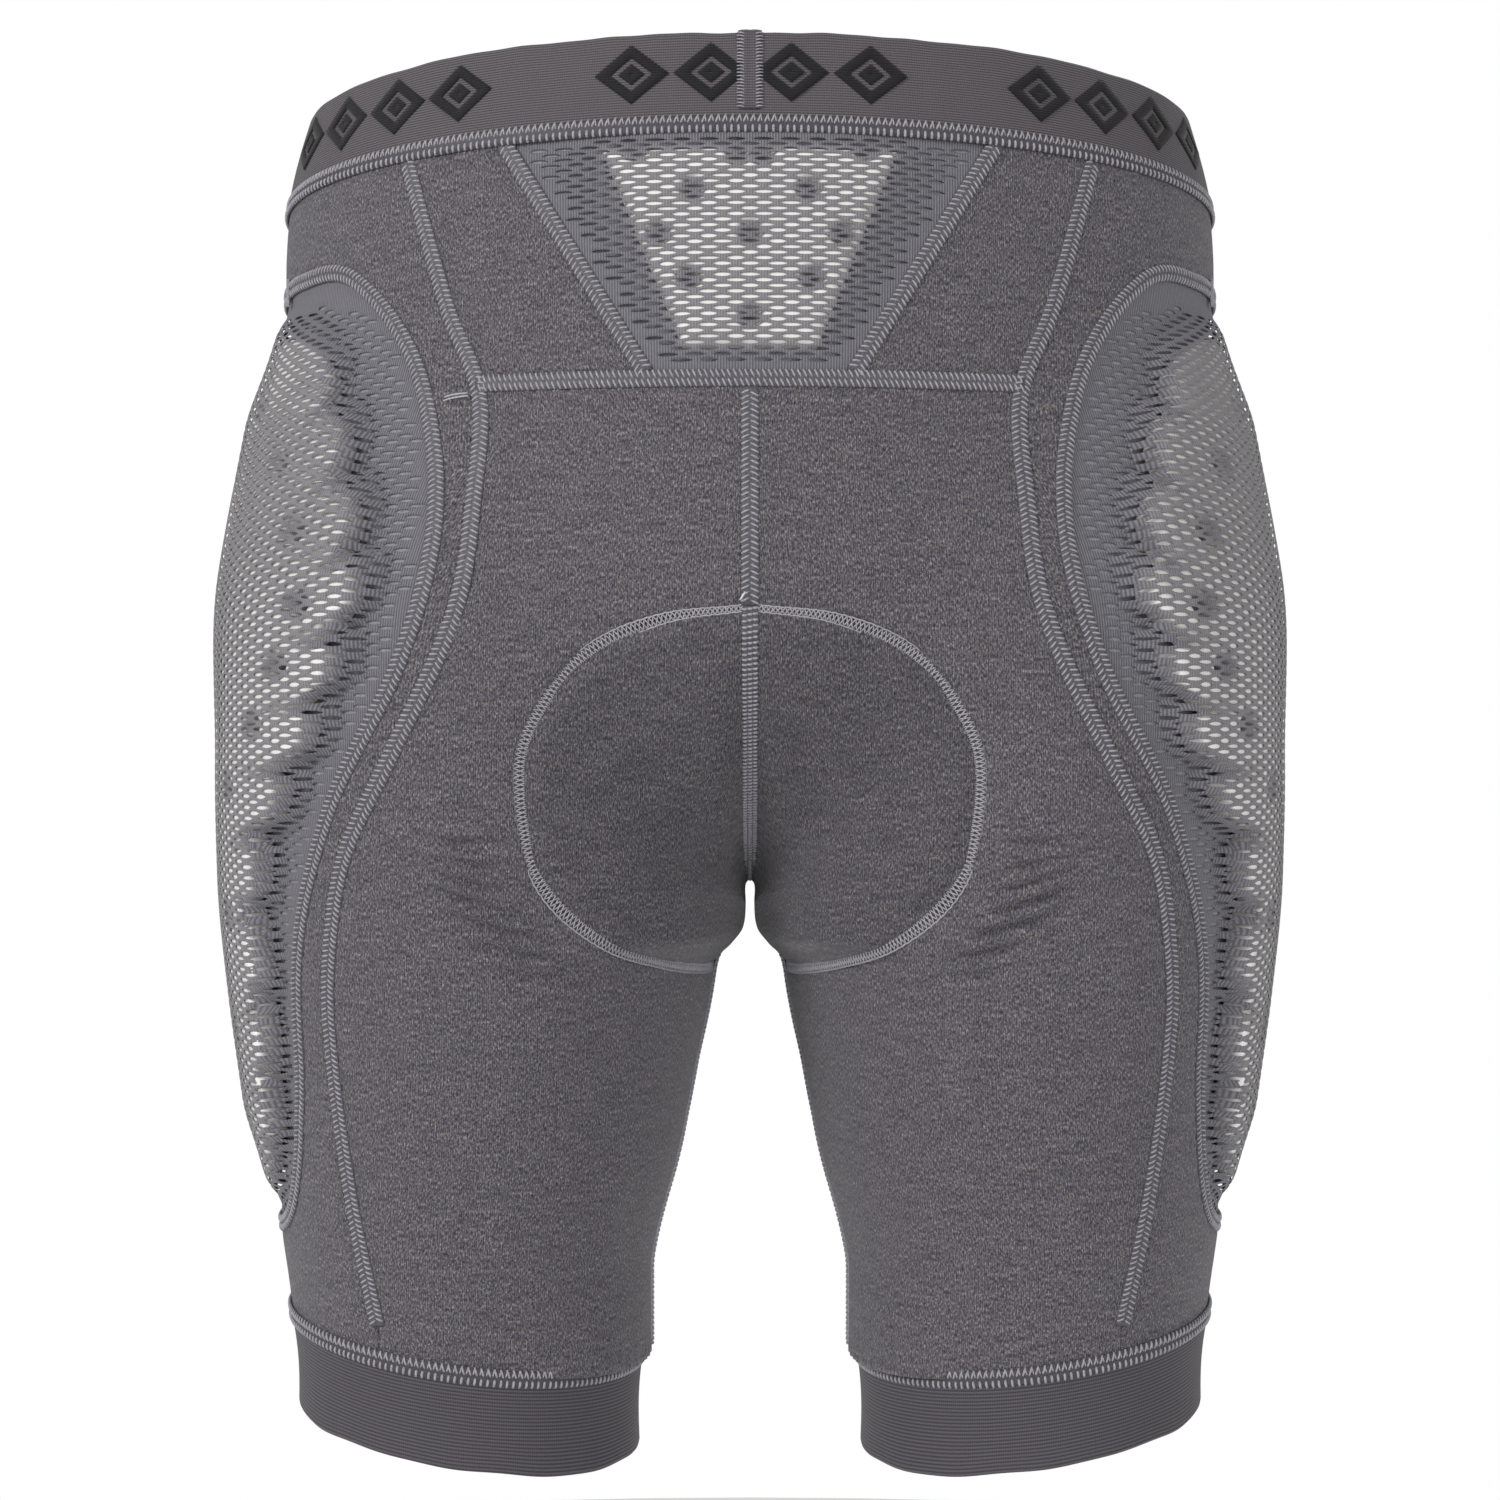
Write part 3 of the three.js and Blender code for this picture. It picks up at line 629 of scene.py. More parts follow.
def lining_material():
    """Plain grey knit behind the mesh."""
    n = Nodes("pocket_lining_knit", roughness=0.9, sheen=0.1)
    wales = n.wave(n.cloth(pitch(1.1), pitch(50)), "X", distort=0.4)
    fuzz = n.noise(n.cloth(1.1, 1.1), detail=2.0)
    colour = n.ramp(fuzz, (0.3, srgb(134, 133, 142)), (0.7, srgb(162, 160, 169)))
    return n.finish(colour, n.maths("ADD", wales, fuzz), 0.0002, 0.6)


def silicone_material():
    """Soft dark silicone with a satin gloss."""
    n = Nodes("silicone_strip", roughness=0.42, specular=0.5)
    cloud = n.noise(n.place(120), detail=3.0)
    colour = n.ramp(cloud, (0.3, srgb(36, 36, 38)), (0.7, srgb(58, 58, 61)))
    return n.finish(colour, n.noise(n.place(700)), 0.0001, 0.3)


def floor_material():
    n = Nodes("studio_floor", roughness=0.9)
    cloud = n.noise(n.place(1.5), detail=2.0)
    colour = n.ramp(cloud, (0.0, (0.90, 0.90, 0.90, 1)), (1.0, (0.93, 0.93, 0.93, 1)))
    return n.finish(colour)


JERSEY = jersey_material()
MESH = mesh_material()
WAIST_ELASTIC = elastic_material("waist_elastic", srgb(112, 107, 110), srgb(68, 64, 68), 0.9)
HEM_ELASTIC = elastic_material("hem_elastic", srgb(101, 97, 102), srgb(62, 59, 64), 1.3)
PATTERN = elastic_material("black_weave", srgb(36, 34, 38), srgb(18, 17, 20), 0.9)
FOAM = foam_material("white_foam", srgb(253, 251, 248), srgb(246, 243, 240))
SEAT_FOAM = foam_material("seat_foam", srgb(190, 188, 190), srgb(168, 166, 170))
LINING = lining_material()
THREAD = thread_material("seam_thread", srgb(188, 186, 192), srgb(136, 134, 141))
SEAM_CLOTH = thread_material("seam_ground", srgb(106, 104, 111), srgb(68, 66, 73))
LIGHT_THREAD = thread_material("loose_grey_thread", srgb(205, 203, 207), srgb(160, 158, 163))
DARK_GROUND = thread_material("band_seam_ground", srgb(84, 82, 87), srgb(56, 54, 60))
WHITE_THREAD = thread_material("loose_white_thread", srgb(240, 240, 240), srgb(205, 205, 205))
SILICONE = silicone_material()


# ------------------------------------------------------------------ lines on the shape
class Line:
    """A seam line: points of the shape a millimetre apart, with the directions along it, across
    it and out of the cloth."""

    def __init__(self, points, loop=False):
        self.rise = None
        if loop:
            points = np.concatenate([points, points[:1]])
        reach = distances(points)
        self.length = reach[-1]
        self.loop = loop
        count = max(int(self.length), 8) + 1
        self.s = np.linspace(0, self.length, count)
        self.points = self.blend(self.s, reach, points)
        self.out = normals_at(self.points)
        if loop:
            wide = np.concatenate([self.points[-2:-1], self.points, self.points[1:2]])
            along = wide[2:] - wide[:-2]
        else:
            along = np.gradient(self.points, axis=0)
        side = np.cross(along, self.out)
        self.side = side / np.linalg.norm(side, axis=1, keepdims=True)

    @staticmethod
    def blend(s, reach, values):
        return np.stack([np.interp(s, reach, values[:, k]) for k in range(3)], -1)

    def at(self, s, u, h):
        """Points at lengths along the line, distances across it and heights above the cloth."""
        s, u, h = np.broadcast_arrays(np.asarray(s, float), u, h)
        s = s % self.length if self.loop else np.clip(s, 0, self.length)
        base, side, out = (self.blend(s, self.s, v) for v in (self.points, self.side, self.out))
        if self.rise is not None:
            h = h + np.interp(s, self.s, self.rise)
        return base + side * u[..., None] + out * h[..., None]

    def follow(self, relief):
        """Makes the line lie on cloth that stands off the plain shape."""
        rise = relief(self.points)
        self.rise = np.convolve(np.pad(rise, 3, "edge"), np.full(7, 1 / 7), "valid")

    def outward(self, s):
        s = s % self.length if self.loop else np.clip(s, 0, self.length)
        return self.blend(s, self.s, self.out)

    def near(self, points):
        """Signed distance across the line and length along it for each point."""
        flat = points.reshape(-1, 3)
        across = np.empty(len(flat))
        along = np.empty(len(flat))
        for i in range(0, len(flat), 4000):
            part = flat[i:i + 4000]
            gap = ((part[:, None, :] - self.points[None, :, :]) ** 2).sum(-1)
            k = gap.argmin(1)
            away = part - self.points[k]
            sign = np.sign((away * self.side[k]).sum(-1))
            across[i:i + 4000] = np.sqrt(gap[np.arange(len(k)), k]) * sign
            along[i:i + 4000] = self.s[k]
        return across.reshape(points.shape[:-1]), along.reshape(points.shape[:-1])


def down_line(side, x_at, top, bottom):
    z = np.linspace(top, bottom, 500)
    return Line(facing(side, x_at(z), z))


def unit_of(angle, z):
    """Pocket coordinates as (direction, radius) from degrees and heights."""
    a = (np.asarray(angle, float) - POCKET_CENTRE[0]) / POCKET_UNIT[0]
    b = (np.asarray(z, float) - POCKET_CENTRE[1]) / POCKET_UNIT[1]
    return np.arctan2(b, a), np.hypot(a, b)


def from_unit(polar, radius):
    """Radians and heights from pocket coordinates."""
    angle = np.radians(POCKET_CENTRE[0] + POCKET_UNIT[0] * radius * np.cos(polar))
    return angle, POCKET_CENTRE[1] + POCKET_UNIT[1] * radius * np.sin(polar)


def radius_of(outline):
    curve = rounded(outline, 2400, closed=True)
    polar, radius = unit_of(curve[:, 0], curve[:, 1])
    order = np.argsort(polar)
    polar, radius = polar[order], radius[order]
    return lambda q: np.interp(q, polar, radius, period=2 * math.pi)


mesh_radius = radius_of(MESH_OUTLINE)
pad_radius = radius_of(PAD_OUTLINE)


def pocket_points(polar, radius):
    return about_leg(*from_unit(polar, radius))


def ring_of_waist(up, count=720):
    angle = full_turn(count)
    z = np.full(angle.shape, float(up))
    for _ in range(8):
        z = up + waist_level(about_middle(angle, z))
    return about_middle(angle, z)


def ring_of_hem(down, count=480):
    angle = full_turn(count) - math.pi
    return about_leg(angle, hem_at(angle) - down)


def middle_line(side, top):
    """A line down the middle plane and on round the crotch to its lowest point."""
    hub = -190.0
    z = np.linspace(top, hub, 300)
    turn = np.linspace(0, math.pi / 2, 200)[1:]
    c, s = np.cos(turn), np.sin(turn)
    reach = crossing(lambda d: outside(0 * d, side * d * c, hub - d * s), np.full(c.shape, 200.0))
    round_part = np.stack([0 * c, side * reach * c, hub - reach * s], -1)
    return Line(np.concatenate([facing(side, 0 * z, z), round_part]))


def seat_rim():
    top = -146.4
    start = (math.degrees(float(direction_at(BACK, 0.6, top))), top)
    back = rounded([start] + SEAT_BACK, 280, closed=False)
    front = rounded(SEAT_FRONT, 260, closed=False)
    both = np.concatenate([back[:-1], front])
    return about_leg(np.radians(both[:, 0]), both[:, 1])


MID_TOP = YOKE_Z - 3
BACK_LINE = down_line(BACK, BACK_SEAM_X, 8, -392)
FRONT_LINE = down_line(FRONT, FRONT_SEAM_X, -14, -396)
CENTRE_BACK_LINE = middle_line(BACK, MID_TOP)
CENTRE_FRONT_LINE = middle_line(FRONT, -16)
TAIL_LINE = down_line(BACK, TAIL_SEAM_X, 11, YOKE_Z + 2)
YOKE_LINE = Line(facing(BACK, np.linspace(-91, 91, 500), np.full(500, float(YOKE_Z))))
SEAT_LINE = Line(seat_rim())
MESH_LINE = Line(pocket_points(full_turn(1200), mesh_radius(full_turn(1200))), loop=True)
WAIST_LINE = Line(ring_of_waist(0), loop=True)
HEM_LINE = Line(ring_of_hem(0), loop=True)
INSEAM_LINE = Line(about_leg(np.full(300, math.pi),
                             np.linspace(CROTCH - 12, float(hem_at(math.pi)) + 3, 300)))


# ------------------------------------------------------------------ how the jersey lies
def wobble(s, wavelength, seed):
    """A smooth, repeatable wander along a line, between about -1 and 1."""
    q = 2 * math.pi * s / wavelength
    return (np.sin(q + seed) + 0.6 * np.sin(2.3 * q + 2 * seed) + 0.4 * np.sin(4.1 * q + seed)) / 2


def pucker(line, p, seed, pitch_mm=5.2, height=0.3, reach=7.0):
    """Little tucks that stitches pull in beside a seam."""
    across, along = line.near(p)
    phase = 2 * math.pi * along / pitch_mm + 1.6 * wobble(along, 37.0, seed)
    fade = np.exp(-np.abs(across) / reach)
    return height * fade * np.sin(phase) - 0.35 * np.exp(-(across / 3.2) ** 2)


def fold(p, start, end, width, height):
    """A soft crease between two points given as (x, z): a ridge with a hollow under it."""
    x, z = np.abs(p[..., 0]), p[..., 2]
    a, b = np.array(start, float), np.array(end, float)
    d = (b - a) / np.linalg.norm(b - a)
    t = ((x - a[0]) * d[0] + (z - a[1]) * d[1]) / np.linalg.norm(b - a)
    off = -(x - a[0]) * d[1] + (z - a[1]) * d[0]
    fade = smooth(t, -0.1, 0.25) * (1 - smooth(t, 0.6, 1.25))
    ridge = np.exp(-(off / width) ** 2)
    hollow = np.exp(-((off + 1.9 * width) / width) ** 2)
    return height * fade * (ridge - 0.8 * hollow)


CORNER_FOLDS = [                  # (start, end, half width, height), beside the pad's corner
    ((64, -266), (84, -264), 1.9, 1.9), ((68, -260), (93, -253), 2.1, 2.7),
    ((72, -253), (102, -243), 2.2, 3.1), ((77, -246), (107, -234), 2.1, 2.9),
    ((81, -238), (110, -228), 2.0, 2.5), ((84, -230), (112, -224), 1.9, 2.0),
    ((86, -221), (108, -220), 1.8, 1.4),
]
SOFT_FOLDS = [                    # long shallow drags across the seat and the thigh
    ((14, -176), (62, -206), 5.0, 0.9), ((12, -196), (66, -226), 5.0, 0.9),
    ((16, -214), (58, -238), 4.5, 0.9), ((30, -246), (70, -230), 5.0, 0.8),
    ((20, -136), (82, -118), 8.0, 0.6), ((30, -110), (84, -98), 8.0, 0.5),
    ((104, -150), (60, -168), 8.0, 0.6), ((60, -300), (120, -280), 9.0, 0.8),
    ((70, -340), (126, -322), 9.0, 0.7), ((60, -322), (100, -306), 7.0, 0.6),
]


def seat_height(p):
    """How much the seat pad pushes the jersey out, and the groove its stitches pull in."""
    across, _ = SEAT_LINE.near(p)
    inner = -across if SEAT_INSIDE < 0 else across
    plateau = 1.5 * smooth(inner, 0.5, 9)
    groove = -0.9 * np.exp(-(inner / 2.4) ** 2)
    rim = 0.7 * np.exp(-((inner - 6) / 3.5) ** 2)
    return plateau + groove + rim, inner


SEAT_INSIDE = SEAT_LINE.near(facing(BACK, np.full(1, 40.0), np.full(1, -200.0)))[0][0]


def seat_form(p):
    """The seat pad's height with the cleft that the centre seam pulls into it."""
    pad, inner = seat_height(p)
    x, z = p[..., 0], p[..., 2]
    depth = smooth(-z, 160, 195) * (1 - smooth(-z, 226, 238))
    cleft = -4.2 * np.exp(-(x / 8) ** 2) * depth - 1.0 * np.exp(-(x / 4) ** 2) * smooth(-z, 148, 156)
    return pad + cleft, inner


THIGH_GAP = profile((-225, 1.2), (-239, 1.5), (-247, 2.5), (-255, 3.6), (-259, 5.0), (-263, 8.6),
                    (-267, 11.7), (-284, 15.6), (-330, 24.4), (-372, 36))


def thigh_swell(p):
    """How the pad between the legs fills out the tops of the inner thighs, leaving the narrow
    gap between them that flares below the pad."""
    z = p[..., 2]
    inward = smooth(-normals_at(p)[..., 0], 0.3, 0.85)
    inner = np.minimum(LEG["axis"](z) - LEG["width"](z), p[..., 0])
    most_in = -2.6 * smooth(-z, 258, 268) * (1 - smooth(-z, 300, 350))
    return inward * np.clip(inner - FABRIC - THIGH_GAP(z), most_in, 8)


def back_relief(p):
    """Height of the back jersey above the plain shape, and how much its colour is painted darker,
    from 0 to 1: painted shade down the cleft and along the groove under the seat pad's stitches, and
    darker inside the pad's outline.
    """
    height, inner = seat_form(p)
    height = height + thigh_swell(p)
    x, z = p[..., 0], p[..., 2]
    for line, seed in ((BACK_LINE, 1.0), (YOKE_LINE, 2.0), (CENTRE_BACK_LINE, 3.0)):
        height = height + pucker(line, p, seed)
    for start, end, width, tall in CORNER_FOLDS + SOFT_FOLDS:
        height = height + fold(p, start, end, width, tall)
    height = height + hem_waves(p)
    # Darker inside the seat pad's outline; painted shade down the cleft and along the groove under
    # the pad's stitches.
    painted_shade_and_darkening = 0.22 * smooth(inner, -1, 5) + 0.3 * np.exp(-(x / 9) ** 2) * smooth(-z, 150, 200)
    painted_shade_and_darkening = painted_shade_and_darkening + 0.3 * np.exp(-(inner / 2.2) ** 2)
    return height, painted_shade_and_darkening


def hem_waves(p):
    across, along = HEM_LINE.near(p)
    return 0.28 * np.exp(-np.abs(across) / 8) * np.sin(
        2 * math.pi * along / 5.6 + 1.5 * wobble(along, 45, 4.0))


CENTRE_BACK_LINE.follow(lambda p: seat_form(p)[0])
SEAT_LINE.follow(lambda p: seat_form(p)[0] + thigh_swell(p))
INSEAM_LINE.follow(thigh_swell)


def plain_relief(*lines):
    def relief(p):
        height = 0.25 * wobble(p[..., 2] * 0.7 + p[..., 0], 61, 2.0) + thigh_swell(p)
        for k, line in enumerate(lines):
            height = height + pucker(line, p, 5.0 + k)
        return height, np.zeros(height.shape)
    return relief


# ------------------------------------------------------------------ jersey panels
def aside(z, distance):
    return distance / LEG["width"](np.minimum(z, -100))


def sheet_grid(heights, start, end, columns):
    """Directions and heights of a grid between two seams; heights(angle) gives the rows."""
    share = np.linspace(0, 1, columns)[None, :]
    rows = heights(np.zeros((1, columns))).shape[0]
    z = heights(np.zeros((rows, columns)))
    for _ in range(8):
        angle = lerp(start(z), end(z), share)
        z = heights(angle)
    return lerp(start(z), end(z), share), z


def rows_between(top, above, below):
    """Rows from a top level to the crotch and on to the hem, closer together at the crotch."""
    high = 1 - (1 - np.linspace(0, 1, above)) ** 1.7
    low = np.linspace(0, 1, below)[1:] ** 1.5

    def heights(angle):
        if angle.shape[0] == 1:
            angle = np.repeat(angle, above + below - 1, 0)
        a, b = angle[:above], angle[above:]
        return np.concatenate([
            lerp(top(a), CROTCH, high[:, None]),
            lerp(CROTCH, hem_at(b) + GAP, low[:, None])])
    return heights


def arc_lay(angle, z, p):
    """Cloth coordinates: distance round the body from the middle of the leg's back, height."""
    step = np.linalg.norm(np.diff(p, axis=1), axis=-1)
    reach = np.concatenate([np.zeros((len(p), 1)), np.cumsum(step, 1)], 1)
    zero = np.array([np.interp(-math.pi / 2, a, r) if a[0] < a[-1]
                     else np.interp(math.pi / 2, -a, r) for a, r in zip(angle, reach)])
    return reach - zero[:, None], z


def panel(name, heights, start, end, columns, relief):
    angle, z = sheet_grid(heights, start, end, columns)
    p = about_leg(angle, z)
    height, painted_shade_and_darkening = relief(p)
    p_in = lift(p, height)
    p_out = lift(p, height + FABRIC)
    for q in (p_in, p_out):
        q[..., 0] = np.maximum(q[..., 0], GAP)
    u, v = arc_lay(angle, z, p)
    make_pair(name, sheet_parts(p_out, p_in), JERSEY, cloth_lay(u, v, painted_shade_and_darkening))


def tail_direction(z):
    return direction_at(BACK, TAIL_SEAM_X(z) + GAP, z)


tail_edge = table(tail_direction, BOTTOM, TOP)


def panels():
    def middle(side, at):
        return lambda z: at(z) - side * aside(z, MIDDLE)

    panel("back_panel", rows_between(lambda a: YOKE_Z - GAP / 2 + 0 * a, 140, 110),
          middle(BACK, middle_back), lambda z: back_seam(z) - aside(z, GAP / 2), 165,
          back_relief)
    panel("front_panel", rows_between(lambda a: waist_at(a) - GAP / 2, 120, 80),
          middle(FRONT, middle_front), lambda z: front_seam(z) + aside(z, GAP / 2), 90,
          plain_relief(FRONT_LINE, CENTRE_FRONT_LINE))
    share = np.linspace(0, 1, 60)[:, None]
    panel("back_yoke", lambda a: lerp(waist_at(a) - GAP / 2, YOKE_Z + GAP / 2, share) + 0 * a,
          tail_edge, lambda z: back_seam(z) - aside(z, GAP / 2), 60,
          plain_relief(BACK_LINE, YOKE_LINE, TAIL_LINE))


def side_edge():
    """Once round the side panel: down the back seam, along the hem, up the front seam and back
    along the waist, as directions and heights."""
    def run(seam, shift, count):
        top = waist_at(float(seam(0.0))) - GAP / 2
        low = HEM_Z
        for _ in range(8):
            top = waist_at(seam(top)) - GAP / 2
            low = hem_at(seam(low)) + GAP
        z = np.linspace(top, low, count)
        return seam(z) + aside(z, shift), z
    back_a, back_z = run(back_seam, GAP / 2, 190)
    front_a, front_z = run(front_seam, -GAP / 2, 190)
    hem_a = np.linspace(back_a[-1], front_a[-1], 62)[1:-1]
    top_a = np.linspace(front_a[0], back_a[0], 72)[1:-1]
    return (np.concatenate([back_a, hem_a, front_a[::-1], top_a]),
            np.concatenate([back_z, hem_at(hem_a) + GAP, front_z[::-1],
                            waist_at(top_a) - GAP / 2]))


def side_panel():
    """Jersey all round the pocket, from the seams to the mesh."""
    angle, z = side_edge()
    polar, _ = unit_of(np.degrees(angle), z)
    inner_a, inner_z = from_unit(polar, mesh_radius(polar) + GAP / UNIT_MM)
    t = np.linspace(0, 1, 22)[:, None]
    a, h = lerp(inner_a, angle, t), lerp(inner_z, z, t)
    p = about_leg(a, h)
    height = np.zeros(a.shape)
    for k, line in enumerate((BACK_LINE, FRONT_LINE, MESH_LINE)):
        height = height + pucker(line, p, 8.0 + k)
    height = height + hem_waves(p)
    mean = LEG["width"](np.minimum(h, -100))
    make_pair("side_panel", sheet_parts(lift(p, height + FABRIC), lift(p, height), True),
              JERSEY, cloth_lay(a * mean, h))


# ------------------------------------------------------------------ foam pads
# Heights of the notches in the hip pad's outline; places of the pits, as degrees and heights on
# the hip pad and as widths and heights on the tailbone pad.
NOTCHES = np.array([-52.0, -78.0, -104.0, -130.0, -156.0, -180.0, -202.0, -226.0, -253.0, -285.0,
                    -313.0, -339.0, -365.0])
HIP_DIMPLES = [(-27, -75), (-46, -97), (-56, -121), (-60, -145), (-55, -165), (-47, -185),
               (-33, -206), (-28, -250), (-22, -290), (-18, -322)]
TAIL_PAD_RIM = 0.6            # height of the tailbone pad's edge, which rises over this width
TAIL_PAD_ROUNDING = 7.0
TAIL_DIMPLES = [(4, 4), (-4, 4), (19, -8), (-19, -8), (30, -23), (-30, -23), (0, -23),
                (20, -38), (-20, -38), (0, -51), (38, 6), (-38, 6)]


def scallop(z, front):
    """Depth of the notches between the pad's lobes, 0 at a lobe's tip and 1 at a notch. Each
    lobe has a square upper edge and slants in towards the notch under it."""
    down = -np.asarray(z, float) - (9 if front else 0)
    place = np.interp(down, -NOTCHES, np.arange(len(NOTCHES))) % 1
    depth = np.maximum(1 - place / 0.09, np.clip((place - 0.56) / 0.44, 0, 1) ** 1.15)
    ends = smooth(-down, -347, -336) * (1 - smooth(-down, -64, -56))
    return ends * (depth + 0.12 * np.clip(1 - place / 0.5, 0, 1) * (depth < 0.88))


def pits(across, along, radius):
    """How far a place lies down in a moulded pit, 0 to 1, from its offsets to the pit."""
    return np.exp(-(np.hypot(across, along) / radius) ** 4)


def pad_rim(polar):
    """The scalloped outline's radius in each direction about the pocket's centre."""
    radius = pad_radius(polar)
    _, z = from_unit(polar, radius)
    front = np.cos(polar) > 0
    notch = np.where(front, scallop(z, True), scallop(z, False))
    return radius - (LOBE_DEPTH / UNIT_MM) * notch * np.abs(np.cos(polar)) ** 0.3


def hip_pad_depth(angle, z):
    """Roughly how many millimetres inside the pad's scalloped outline a place is."""
    polar, radius = unit_of(np.degrees(angle), z)
    return (pad_rim(polar) - radius) * UNIT_MM


def hip_pad_top(angle, z):
    """Height of the pad's outer face, from its outline, tapered ends, grooves and dimples."""
    polar, _ = unit_of(np.degrees(angle), z)
    inside = hip_pad_depth(angle, z)
    low, high = HIP_PAD
    ends = lerp(0.42, 1.0, smooth(-z, 46, 85)) * lerp(0.5, 1.0, smooth(z, -350, -316))
    high = low + (high - low) * ends
    near = np.clip(inside / 5, 0, 1)
    top = lerp(low + 0.65 * (high - low), high, np.sqrt(near * (2 - near)))
    groove = np.where(np.cos(polar) > 0, scallop(z, True), scallop(z, False)) ** 3
    top = top - 2.2 * groove * (1 - smooth(inside, 4, 26))
    return np.where(inside > 0, top, 0.0)


def hip_pits(angle, z):
    """The hip pad's pits, which its front half repeats a little closer to the middle."""
    mm_per_degree = 1.5
    found = [pits((np.degrees(angle) - degrees * turn) * mm_per_degree, z - height, 4.2)
             for degrees, height in HIP_DIMPLES for turn in (1, -0.72)]
    return np.maximum.reduce(found)


def pad_lay(pit):
    """Cloth coordinates of a pad's outer and inner faces that only carry how pitted it is."""
    lay = np.stack([0 * pit, 0 * pit, pit], -1).reshape(-1, 3)
    return np.concatenate([lay, 0 * lay])


def hip_pads():
    """Two foam pads with rounded lobes round their edges and moulded dimples."""
    rays, rings = 620, 44
    polar = full_turn(rays)
    share = np.linspace(0, 1, rings) ** 0.75
    radius = pad_rim(polar)[None, :] * np.maximum(share, 0.01)[:, None]
    angle, z = from_unit(np.broadcast_to(polar, radius.shape), radius)
    p = about_leg(angle, z)
    pit = hip_pits(angle, z)
    bottom = np.full(pit.shape, HIP_PAD[0])
    bottom[-1] = HIP_PAD[0] + 0.8
    top = np.maximum(hip_pad_top(angle, z) - 5.0 * pit, bottom + 1.5)
    top[-1] = bottom[-1] + 0.6 * (top[-2] - bottom[-1])
    pieces = make_pair("hip_pad", disc_parts(lift(p, top), lift(p, bottom)), FOAM,
                       pad_lay(np.append(pit, 0.0)), body="hip_pad")


def tail_pad_top(margin):
    """Height of the tailbone pad's outer face, from how far inside its edge a place is."""
    rounding = np.clip(margin / TAIL_PAD_ROUNDING, 0, 1)
    return lerp(TAIL_PAD_RIM, TAIL_PAD[1], np.sqrt(1 - (1 - rounding) ** 2))


def tail_pits(x, z):
    return np.maximum.reduce([pits(x - dx, z - dz, 3.7) for dx, dz in TAIL_DIMPLES])


def tail_grid(half_width, top, bottom, rows, columns):
    """Widths and heights of a tapering piece across the middle of the back."""
    t = np.linspace(0, 1, rows)[:, None]
    s = np.linspace(-1, 1, columns)[None, :]
    x = np.zeros((rows, columns))
    z = np.full((rows, columns), float(bottom))
    for _ in range(8):
        level = -WAIST_TILT * facing(BACK, x, z)[..., 1] - top
        z = lerp(level, bottom, t)
        x = half_width(z) * s
    height = -WAIST_TILT * facing(BACK, 0.0, 0.0)[1] - top - bottom
    margin = np.minimum(np.minimum(t, 1 - t) * height, half_width(z) - np.abs(x))
    return x, z, np.maximum(margin, 0)


def tail_pad():
    x, z, margin = tail_grid(TAIL_PAD_X, GAP / 2 + PAD_BELOW_WAIST, YOKE_Z + PAD_ABOVE_YOKE,
                             120, 150)
    p = facing(BACK, x, z)
    pit = tail_pits(x, z)
    top = np.maximum(tail_pad_top(margin) - 3.6 * pit, 0.1)
    parts = sheet_parts(lift(p, top), lift(p, np.full(x.shape, TAIL_PAD[0])))
    make_single("tailbone_pad", parts, FOAM, pad_lay(pit))


# ------------------------------------------------------------------ open mesh
class ArcTable:
    """Turns a distance round the body at a height into the parameter that makes the point."""

    def __init__(self, point, params, levels, middle):
        grid = point(params[None, :], levels[:, None])
        step = np.linalg.norm(np.diff(grid, axis=1), axis=-1)
        reach = np.concatenate([np.zeros((len(levels), 1)), np.cumsum(step, 1)], 1)
        zero = np.array([np.interp(middle, params, r) for r in reach])
        self.levels = levels
        self.u = np.arange(-170.0, 170.0, 1.5)
        self.values = np.array([np.interp(self.u + z0, r, params)
                                for r, z0 in zip(reach, zero)])

    def __call__(self, u, z):
        return bilinear(self.u, self.levels, self.values, u, z)


def bilinear(xs, ys, values, x, y):
    """A look-up in a table whose rows follow ys and columns xs, both evenly spaced."""
    fx = np.clip((x - xs[0]) / (xs[1] - xs[0]), 0, len(xs) - 1.001)
    fy = np.clip((y - ys[0]) / (ys[1] - ys[0]), 0, len(ys) - 1.001)
    i, j = fy.astype(int), fx.astype(int)
    ty, tx = fy - i, fx - j
    return ((values[i, j] * (1 - tx) + values[i, j + 1] * tx) * (1 - ty)
            + (values[i + 1, j] * (1 - tx) + values[i + 1, j + 1] * tx) * ty)


def stretched_over(obstacle, inside, rounds=500):
    """Heights of a taut cloth held down round its edge and pushed up by what is under it."""
    height = np.where(inside, obstacle, 0.0)
    for _ in range(rounds):
        mean = (np.roll(height, 1, 0) + np.roll(height, -1, 0) + np.roll(height, 1, 1)
                + np.roll(height, -1, 1)) / 4
        height = np.where(inside, np.maximum(obstacle, mean), 0.0)
    return height


SLIT_CORNERS = np.array([(-1, 0), (-0.55, 0.78), (0, 1), (0.55, 0.78),
                         (1, 0), (0.55, -0.78), (0, -1), (-0.55, -0.78)])


